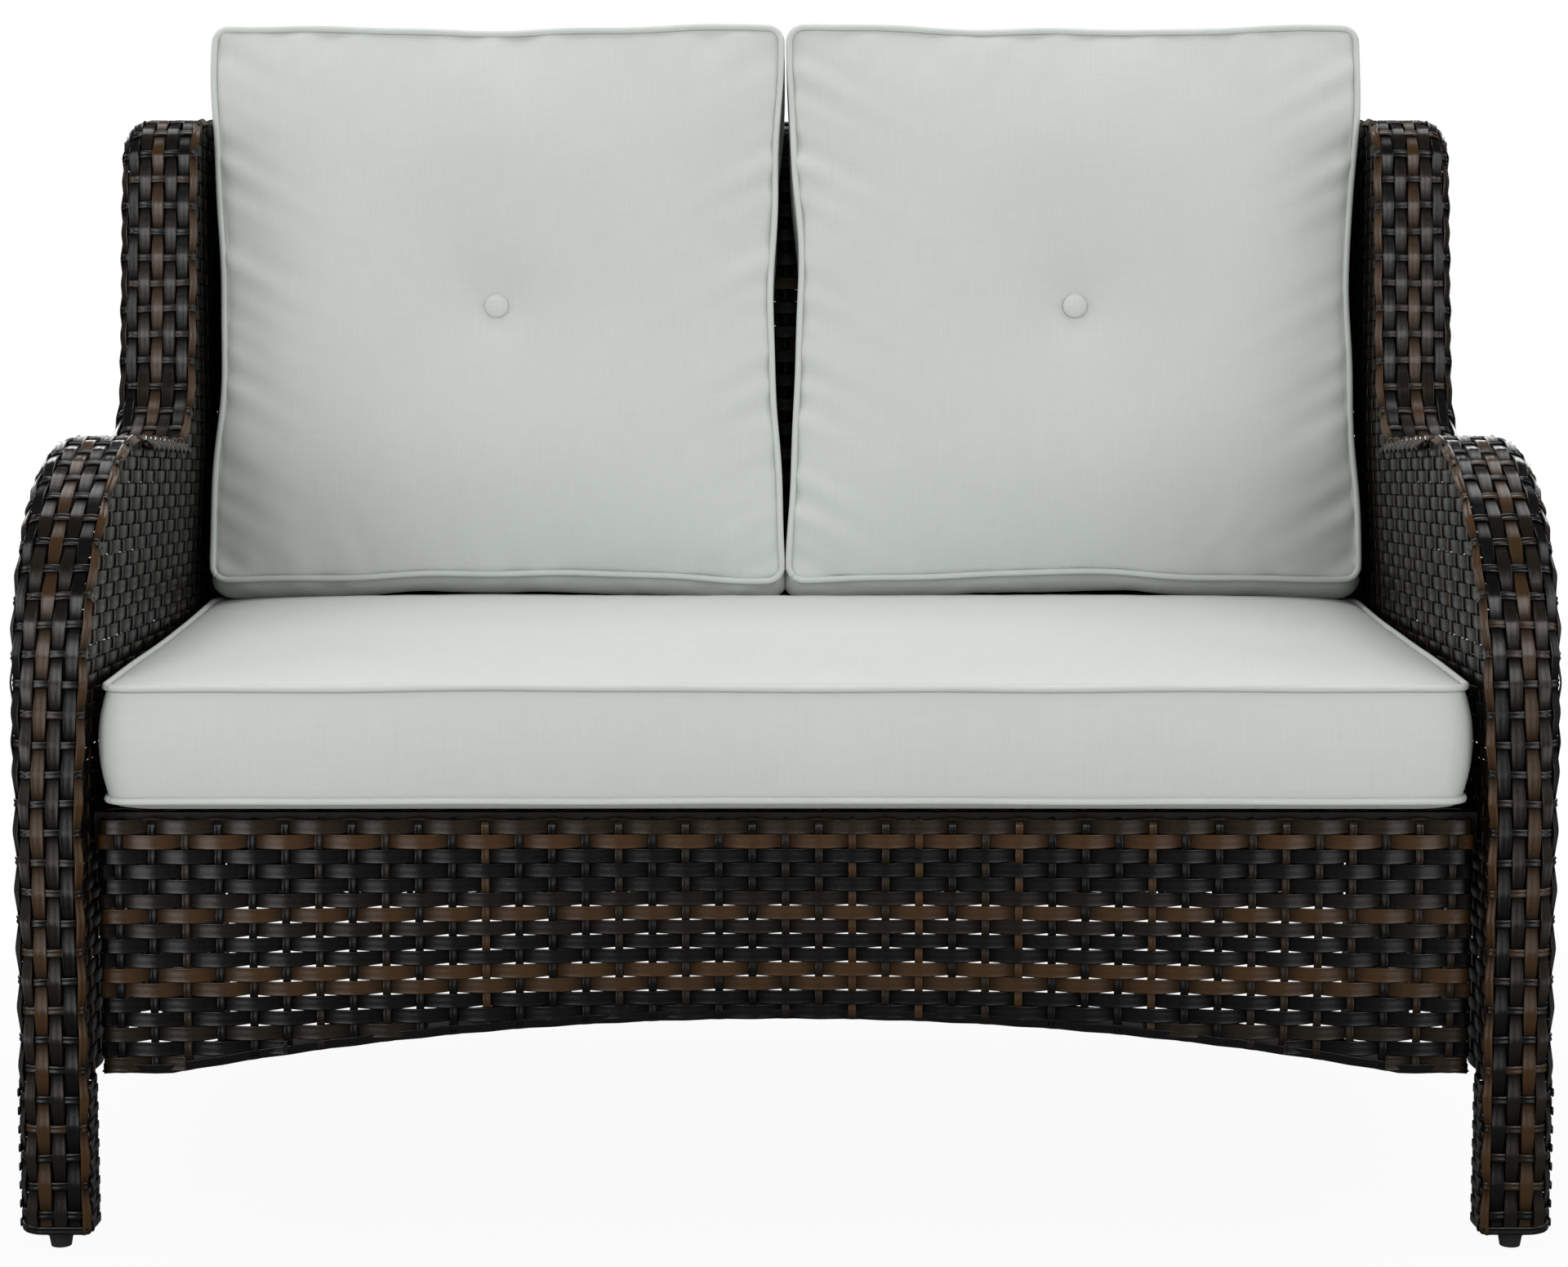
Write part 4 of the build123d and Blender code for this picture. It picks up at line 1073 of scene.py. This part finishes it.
def cushionMesh(name, form, halfX, halfY):
    chance = np.random.default_rng(form["seed"])
    x, y, planX, planY = cushionPlan(form, halfX - form["inset"], halfY - form["inset"])
    count = x.size
    number = np.arange(count).reshape(x.shape)
    loop = perimeter(number)
    flatX, flatY = planX.ravel(), planY.ravel()
    edge = np.stack([flatX[loop], flatY[loop]], axis=1)
    way = unit(np.roll(edge, -1, axis=0) - np.roll(edge, 1, axis=0))
    outward = np.stack([way[:, 1], -way[:, 0]], axis=1)
    reach = reachAlong(edge)
    around = reach[-1] + np.linalg.norm(edge[0] - edge[-1])
    lengths = [around / turn for turn in seam["turns"]]
    sway, heave = form["wave"]
    swayAt = ripple(reach, chance, lengths) * sway
    heaveAt = ripple(reach, chance, lengths) * heave
    room = np.maximum(0, 1 - np.abs(x / (halfX - form["inset"])) ** form["flatness"])
    room = room * np.maximum(0, 1 - np.abs(y / (halfY - form["inset"])) ** form["flatness"])
    top = np.stack([flatX, flatY, form["high"] + form["crown"] * room.ravel() ** form["crownShape"]], axis=1)
    if "tuftDepth" in form:
        away = np.hypot(flatX, flatY - form["buttonRise"])
        top[:, 2] -= form["tuftDepth"] * np.exp(-np.maximum(away - form["buttonRoom"], 0) / form["tuftReach"])
    top[loop, :2] += outward * swayAt[:, None]
    top[loop, 2] += heaveAt
    edgeAway = np.minimum(halfX - np.abs(x), halfY - np.abs(y)).ravel()
    low = np.stack([flatX, flatY, form["low"] * (1 - np.minimum(1, edgeAway / form["foot"])) ** 2], axis=1)
    low[loop, :2] += outward * swayAt[::-1, None]
    low[loop, 2] = form["low"] + heaveAt[::-1] * seam["lowShare"]
    points, rings = [top, low], [count + loop]
    bulge = form["bulge"] + (form["footBulge"] - form["bulge"]) * np.clip(-outward[:, 1], 0, 1)
    for band in range(1, form["bands"]):
        share = band / form["bands"]
        ring = low[loop] * (1 - share) + top[loop] * share
        ring[:, :2] += outward * bulge[:, None] * 4 * share * (1 - share)
        points.append(ring)
        rings.append(2 * count + (band - 1) * len(loop) + np.arange(len(loop)))
    rings.append(loop)
    quads = np.stack([number[:-1, :-1], number[:-1, 1:], number[1:, 1:], number[1:, :-1]], axis=-1).reshape(-1, 4)
    faces = [quads, (quads + count)[:, ::-1]]
    for under, over in zip(rings, rings[1:]):
        faces.append(np.stack([under, np.roll(under, -1), np.roll(over, -1), over], axis=-1))
    points = np.concatenate(points)
    # where each point lies on the flat cloth, its three panels well apart
    onCloth = np.zeros((len(points), 3))
    onCloth[:count, 0], onCloth[:count, 1] = flatX, flatY
    onCloth[count:2 * count] = onCloth[:count] + (0, 0, 400)
    for band, ring in enumerate(rings[1:-1], 1):
        onCloth[ring, 0] = reach
        onCloth[ring, 1] = (form["high"] - form["low"]) * band / form["bands"]
        onCloth[ring, 2] = 800
    seamAway = np.zeros(len(points))
    seamAway[:count] = edgeAway
    return {
        "name": name, "points": points, "faces": np.concatenate(faces), "count": count, "rings": rings,
        "outward": outward, "onCloth": onCloth, "seamAway": seamAway,
    }


def fillCushion(shape, form):
    # pressure against pinned seams, button and underside; the mesh keeps only the result
    points = shape["points"] * metre
    name = shape["name"] + "Filling"
    piece = addObject(name, meshOf(name, points.tolist(), shape["faces"].tolist()))
    held = list(range(shape["count"], 2 * shape["count"])) + shape["rings"][-1].tolist()
    if "tuftDepth" in form:
        top = shape["points"][:shape["count"]]
        held += np.flatnonzero(np.hypot(top[:, 0], top[:, 1] - form["buttonRise"]) < filling["buttonHold"]).tolist()
    piece.vertex_groups.new(name="held").add(held, 1.0, "REPLACE")
    cloth = piece.modifiers.new("filling", "CLOTH")
    settings = cloth.settings
    settings.quality = filling["quality"]
    settings.use_pressure = True
    settings.uniform_pressure_force = form["pressure"]
    settings.shrink_min = -form["slack"]
    settings.vertex_group_mass = "held"
    settings.effector_weights.gravity = 0
    scene = bpy.context.scene
    frames = filling["frames"]
    cloth.point_cache.frame_end = frames
    for number in range(1, frames + 1):
        scene.frame_set(number)
    swollen = piece.evaluated_get(bpy.context.evaluated_depsgraph_get())
    move = readValues(swollen.data.vertices, "co") - points
    scene.frame_set(1)
    bpy.data.objects.remove(piece)
    most = np.linalg.norm(move, axis=1).max()
    cap = form.get("capRise", filling["capRise"]) * metre / max(most, 1e-9)
    print(shape["name"], "filled, moved up to", round(float(most) / metre, 1), "mm")
    return (points + move * min(1, cap)) / metre


def pipeAlong(strands, ring, outward, place):
    closed = np.concatenate([ring[-2:], ring, ring[:3]])
    closedOut = np.concatenate([outward[-2:], outward, outward[:3]])
    spots = np.arange(len(closed))
    fine = np.linspace(2, len(closed) - 3, len(ring) * pipe["perPair"] // 2 + 1)
    smooth = np.stack([np.interp(fine, spots, closed[:, axis]) for axis in range(3)], axis=1)
    out = np.stack([np.interp(fine, spots, closedOut[:, axis]) for axis in range(2)] + [fine * 0], axis=1)
    out = unit(out)
    middle = place(smooth + out * pipe["proud"])
    normal = place(smooth + out) - place(smooth)
    turns = np.arange(pipe["sides"]) * -2 * pi / pipe["sides"] + pi
    section = np.stack([np.cos(turns), np.sin(turns)], axis=1)
    addStrand(strands, middle, normal, pipe["radius"], pipe["radius"], 0.5, section)


def puckers(form, local, normals, seamAway, halfX, halfY):
    # short slanting folds run in from the edges, long faint ones over the whole face, and gathers round the button
    chance = np.random.default_rng(form["seed"] + 1)
    onTop = np.clip(normals[:, 2] * 1.6 - 0.3, 0, 1) * (local[:, 2] > form["low"] + 20)
    x, y = local[:, 0], local[:, 1]
    sideAway, endAway = halfX - np.abs(x), halfY - np.abs(y)
    folds = ripple(y + np.abs(sideAway) * folding["sideSlant"], chance, folding["sideWaves"])
    endFolds = ripple(x + np.abs(endAway) * folding["endSlant"], chance, folding["endWaves"])
    strength = 0.55 + 0.45 * ripple(y, chance, folding["strengthWaves"])
    leftMore = 1 - np.where(x < 0, -folding["leftMore"], folding["leftMore"])
    faceFolds = ripple(x + 0.3 * y, chance, folding["faceWaves"])

    def near(away, reach, room):
        return np.exp(-(away / reach)) * np.minimum(1, away / room)

    rise = folds * strength * leftMore * near(sideAway, folding["sideReach"], folding["edgeRoom"])
    rise += endFolds * folding["endShare"] * near(endAway, folding["endReach"], folding["edgeRoom"])
    rise += faceFolds * folding["faceShare"] * np.minimum(1, seamAway / folding["faceRoom"])
    rise *= form["pucker"]
    rise -= folding["seamDip"] * bell(seamAway - form["inset"], folding["seamWidth"])
    if "tuftDepth" in form:
        away = np.hypot(x, y - form["buttonRise"])
        turn = np.arctan2(y - form["buttonRise"], x)
        gathers = np.sin(turn * 7 + 0.6) * 0.6 + np.sin(turn * 11 + 2) * 0.4
        rise += gathers * folding["gatherDepth"] * near(away, folding["gatherReach"], folding["gatherRoom"])
    return rise * onTop


def makeCushion(name, body, form, halfX, halfY, place, covers, trims):
    shape = cushionMesh(name, form, halfX, halfY)
    points = fillCushion(shape, form)
    mesh = meshOf(name, points.tolist(), shape["faces"].tolist())
    writeAttribute(mesh, "cloth", "FLOAT_VECTOR", shape["onCloth"] * metre)
    writeAttribute(mesh, "seamAway", "FLOAT", shape["seamAway"])
    seamRings = (shape["rings"][0], shape["rings"][-1])
    seams = {tuple(sorted(pair)) for ring in seamRings for pair in zip(ring.tolist(), np.roll(ring, -1).tolist())}
    onSeam = np.array([tuple(sorted(edge.vertices)) in seams for edge in mesh.edges], np.float32)
    writeAttribute(mesh, "crease_edge", "FLOAT", onSeam * seam["crease"], "EDGE")
    rough = addObject(name + "Rough", mesh)
    smooth = rough.modifiers.new("smooth", "SUBSURF")
    smooth.levels = smooth.render_levels = 1
    bpy.context.view_layer.update()
    refined = bpy.data.meshes.new_from_object(rough.evaluated_get(bpy.context.evaluated_depsgraph_get()))
    bpy.data.objects.remove(rough)
    refined.name = name
    local = readValues(refined.vertices, "co")
    normals = readValues(refined.vertices, "normal")
    seamAway = readValues(refined.attributes["seamAway"].data, "value", 1, np.float32).ravel()
    local += normals * puckers(form, local, normals, seamAway, halfX, halfY)[:, None]
    refined.vertices.foreach_set("co", (place(local) * metre).ravel())
    refined.update()
    cover = addPiece(name, refined, cushionCloth, body, covers)
    strands = newStrands(form["seed"] + 5)
    for ring in seamRings:
        pipeAlong(strands, points[ring], shape["outward"], place)
    weaveMesh(name + "Piping", strands, pipingCloth, trims, body)


def makeButton(name, body, place, form, node):
    rings, sides, rise = button["rings"], button["sides"], form["buttonRise"]
    base = form["high"] + form["crown"] - form["tuftDepth"] + button["lift"]
    turns = [pi / 2 * ring / rings for ring in range(1, rings + 1)]
    profile = [(button["radius"] * sin(turn), base + button["high"] * cos(turn)) for turn in turns]
    profile.append((button["radius"] * button["skirtShare"], base - button["skirtDrop"]))
    angles = [2 * pi * side / sides for side in range(sides)]
    points = [(0, rise, base + button["high"])]
    points += [(radius * cos(angle), rise + radius * sin(angle), z) for radius, z in profile for angle in angles]
    faces = [tuple(range(len(points) - 1, len(points) - 1 - sides, -1))]
    for side in range(sides):
        after = (side + 1) % sides
        faces.append((0, 1 + side, 1 + after))
        for low in range(1, rings * sides + 1, sides):
            faces.append((low + side, low + sides + side, low + sides + after, low + after))
    local = np.array(points, float)
    mesh = meshOf(name, (place(local) * metre).tolist(), faces)
    writeAttribute(mesh, "cloth", "FLOAT_VECTOR", local * metre)
    addPiece(name, mesh, cushionCloth, body, [node])


ySeatFront, ySeatBack = yFront + seating["frontGap"], yBack - seating["backGap"]


def seatPlace(local):
    return local + (0, (ySeatFront + ySeatBack) / 2, deckHeight + seating["lift"])


makeCushion("seatCushion", "seat_cushion", seatCushion, xLegInner - seating["sideGap"], (ySeatBack - ySeatFront) / 2,
            seatPlace, ["seat_cushion_cover", "seat_cushion_foam"], ["seat_cushion_piping"])

xBackLow, xBackHigh = seating["middleGap"], xArmInner - seating["armGap"]
for side, label in bothSides:
    form = dict(backCushion, seed=backCushion["seed"] + 10 * side)
    middleX = side * (xBackLow + xBackHigh) / 2

    def backPlace(local, middleX=middleX):
        y, z = leanPoint(0, seating["backMiddle"])
        up, out = local[:, 1], local[:, 2] + seating["lift"]
        return np.stack([middleX + local[:, 0], y + up * sin(lean) - out * cos(lean),
                         z + up * cos(lean) + out * sin(lean)], axis=1)

    prefix = label + "_back_cushion"
    makeCushion(label + "BackCushion", prefix, form, (xBackHigh - xBackLow) / 2, seating["backHalfHeight"], backPlace,
                [prefix + "_cover", prefix + "_fill"], [prefix + "_piping"])
    makeButton(label + "CushionButton", prefix, backPlace, form, prefix + "_button")
print("cushions filled")


# Finishes of the CAD pieces that stay: steel tube, fasteners and glides.
def bareMaterial(name, colours, rough, metallic, grainScale, bumpSize):
    material, shader = newMaterial(name)
    spots = addNode(shader.id_data, "TexCoord", {}).outputs["Object"]
    grain = noise(spots, grainScale, detail=4)
    worn = noise(spots, (1, 1, 1), 38)
    setInputs(shader, {
        "Base Color": ramp(grain, [(0.3, colours[0]), (0.72, colours[1])]),
        "Roughness": ramp(worn, [(0.3, rough - 0.07), (0.7, rough + 0.1)]),
        "Metallic": metallic,
    })
    bump(shader, grain, 0.3, bumpSize)
    return material


finishes = {
    "powder_coated_steel": bareMaterial("powderCoat", ((0.016, 0.0125, 0.0105), (0.026, 0.021, 0.018)), 0.45, 0,
                                        (900, 900, 900), 0.0002),
    "zinc_steel": bareMaterial("zincPlate", ((0.5, 0.51, 0.53), (0.66, 0.67, 0.68)), 0.3, 1, (400, 400, 2500), 0.0001),
    "glide_plastic": bareMaterial("glidePlastic", ((0.012, 0.012, 0.013), (0.022, 0.022, 0.023)), 0.4, 0,
                                  (260, 260, 900), 0.0002),
}
slots = {part["node"]: part["material_slot"] for part in frame["record"]["subparts"]}
for node, piece in frame["nodes"].items():
    if not piece.hide_render:
        piece.data.materials.clear()
        piece.data.materials.append(finishes[slots[node]])
print("frame pieces finished")

# Stage, light and camera, in metres.
studio = {
    "floorHalf": 9.0,
    "floorShade": 0.5,
    "glossyFloorShade": 0.1,
    "glossyPatch": (3.2, 1.9),
    "worldShade": 0.055,
    "fillShade": 0.42,
}
# Each pair of lamps: the right one's place and aim, the size, and the power on the left and on the right.
lampPairs = {
    "FrontSoftbox": ((1.7, -3.2, 1.75), (0.3, -0.1, 0.7), (1.6, 1.4), (30, 30)),
    "LowSoftbox": ((1.9, -2.85, 0.55), (0.5, -0.3, 0.3), (0.8, 1.0), (7, 4.5)),
    "SideSoftbox": ((3.2, -0.9, 1.5), (0, 0, 0.8), (1.6, 2.0), (20, 20)),
    "RearSoftbox": ((2.0, 3.2, 1.5), (0, 0.3, 0.6), (1.6, 1.8), (26, 26)),
}
topPower = 60
camera = {
    "distance": 2.7, "height": 0.90106, "tilt": 5.9, "focal": 4058, "centre": (962, 629), "image": (1920, 1552),
    "sensor": 36, "farEnd": 60,
}


def stageMaterial(name):
    # white to the camera, grey to diffuse light, and dark to reflections except for two glowing patches in front, left
    # brighter than right: a painted reflection standing in for low softboxes
    material, shader = newMaterial(name, "MixShader")
    tree = shader.id_data
    geometry = addNode(tree, "NewGeometry", {})
    rays = addNode(tree, "LightPath", {})
    place = geometry.outputs["Position"]
    parts = separated(place)
    left, right = studio["glossyPatch"]
    right = right / left
    beside = ramp(calc("MULTIPLY_ADD", parts[0], 0.2, 0.5), [
        (0.1, 0.0), (0.2, 1.0), (0.26, 1.0), (0.32, 0.0), (0.68, 0.0), (0.74, right), (0.8, right), (0.9, 0.0)])
    before = ramp(calc("MULTIPLY_ADD", parts[1], 0.25, 0.75), [(0.5, 1.0), (0.62, 0.0)])
    patch = calc("MULTIPLY", calc("MULTIPLY", beside, before), left)
    shade = studio["floorShade"]
    diffuse = addNode(tree, "BsdfDiffuse", {0: (shade, shade, shade, 1)})
    mirrored = addNode(tree, "Emission", {"Strength": calc("ADD", patch, studio["glossyFloorShade"])})
    base = addNode(tree, "MixShader", {0: rays.outputs["Is Glossy Ray"], 1: diffuse.outputs[0], 2: mirrored.outputs[0]})
    seen = calc("MAXIMUM", rays.outputs["Is Camera Ray"], rays.outputs["Is Transmission Ray"])
    away = addNode(tree, "VectorMath", {0: place}, operation="LENGTH").outputs["Value"]
    whiteShare = calc("MULTIPLY", seen, ramp(calc("MULTIPLY", away, 0.4), [(0.2, 0.94), (0.62, 1.0)]))
    white = addNode(tree, "Emission", {})
    above = addNode(tree, "MixShader", {0: whiteShare, 1: base.outputs[0], 2: white.outputs[0]})
    clear = addNode(tree, "BsdfTransparent", {})
    setInputs(shader, {0: geometry.outputs["Backfacing"], 1: above.outputs[0], 2: clear.outputs[0]})
    return material


def makeStage():
    half = studio["floorHalf"]
    corners = [(-half, -half, 0), (half, -half, 0), (half, half, 0), (-half, half, 0)]
    floor = addObject("studioFloor", meshOf("studioFloor", corners, [(0, 1, 2, 3)]))
    floor.data.materials.append(stageMaterial("paleFloor"))
    world = bpy.data.worlds.new("studioWorld")
    world.use_nodes = True
    background = world.node_tree.nodes["Background"]
    rays = addNode(world.node_tree, "LightPath", {})
    drop = studio["worldShade"] - studio["fillShade"]
    fill = calc("MULTIPLY_ADD", rays.outputs["Is Glossy Ray"], drop, studio["fillShade"])
    setInputs(background, {"Color": (1, 1, 1, 1), "Strength": calc("MAXIMUM", rays.outputs["Is Camera Ray"], fill)})
    bpy.context.scene.world = world


def addLamp(name, place, aim, size, power):
    data = bpy.data.lights.new(name, "AREA")
    data.shape = "RECTANGLE"
    data.size, data.size_y = size
    data.energy = power
    lamp = addObject(name, data)
    lamp.location = place
    lamp.rotation_euler = (Vector(aim) - Vector(place)).to_track_quat("-Z", "Y").to_euler()


def makeCamera():
    data = bpy.data.cameras.new("photoCamera")
    wide, high = camera["image"]
    data.sensor_fit = "HORIZONTAL"
    data.sensor_width = camera["sensor"]
    data.lens = camera["sensor"] * camera["focal"] / wide
    data.shift_x = (wide / 2 - camera["centre"][0]) / wide
    data.shift_y = (camera["centre"][1] - high / 2) / wide
    data.clip_end = camera["farEnd"]
    lens = addObject("photoCamera", data)
    lens.location = (0, yFront * metre - camera["distance"], camera["height"])
    lens.rotation_euler = (radians(90 - camera["tilt"]), 0, 0)
    bpy.context.scene.camera = lens


makeStage()
for side, label in bothSides[::-1]:
    for name, ((x, y, z), aim, size, powers) in lampPairs.items():
        addLamp(label + name, (x * side, y, z), (aim[0] * side, *aim[1:]), size, powers[side > 0])
addLamp("topSoftbox", (0, 0.6, 3.3), (0, 0, 0.4), (3.2, 2.0), topPower)
makeCamera()
bpy.context.scene.view_settings.view_transform = "Standard"
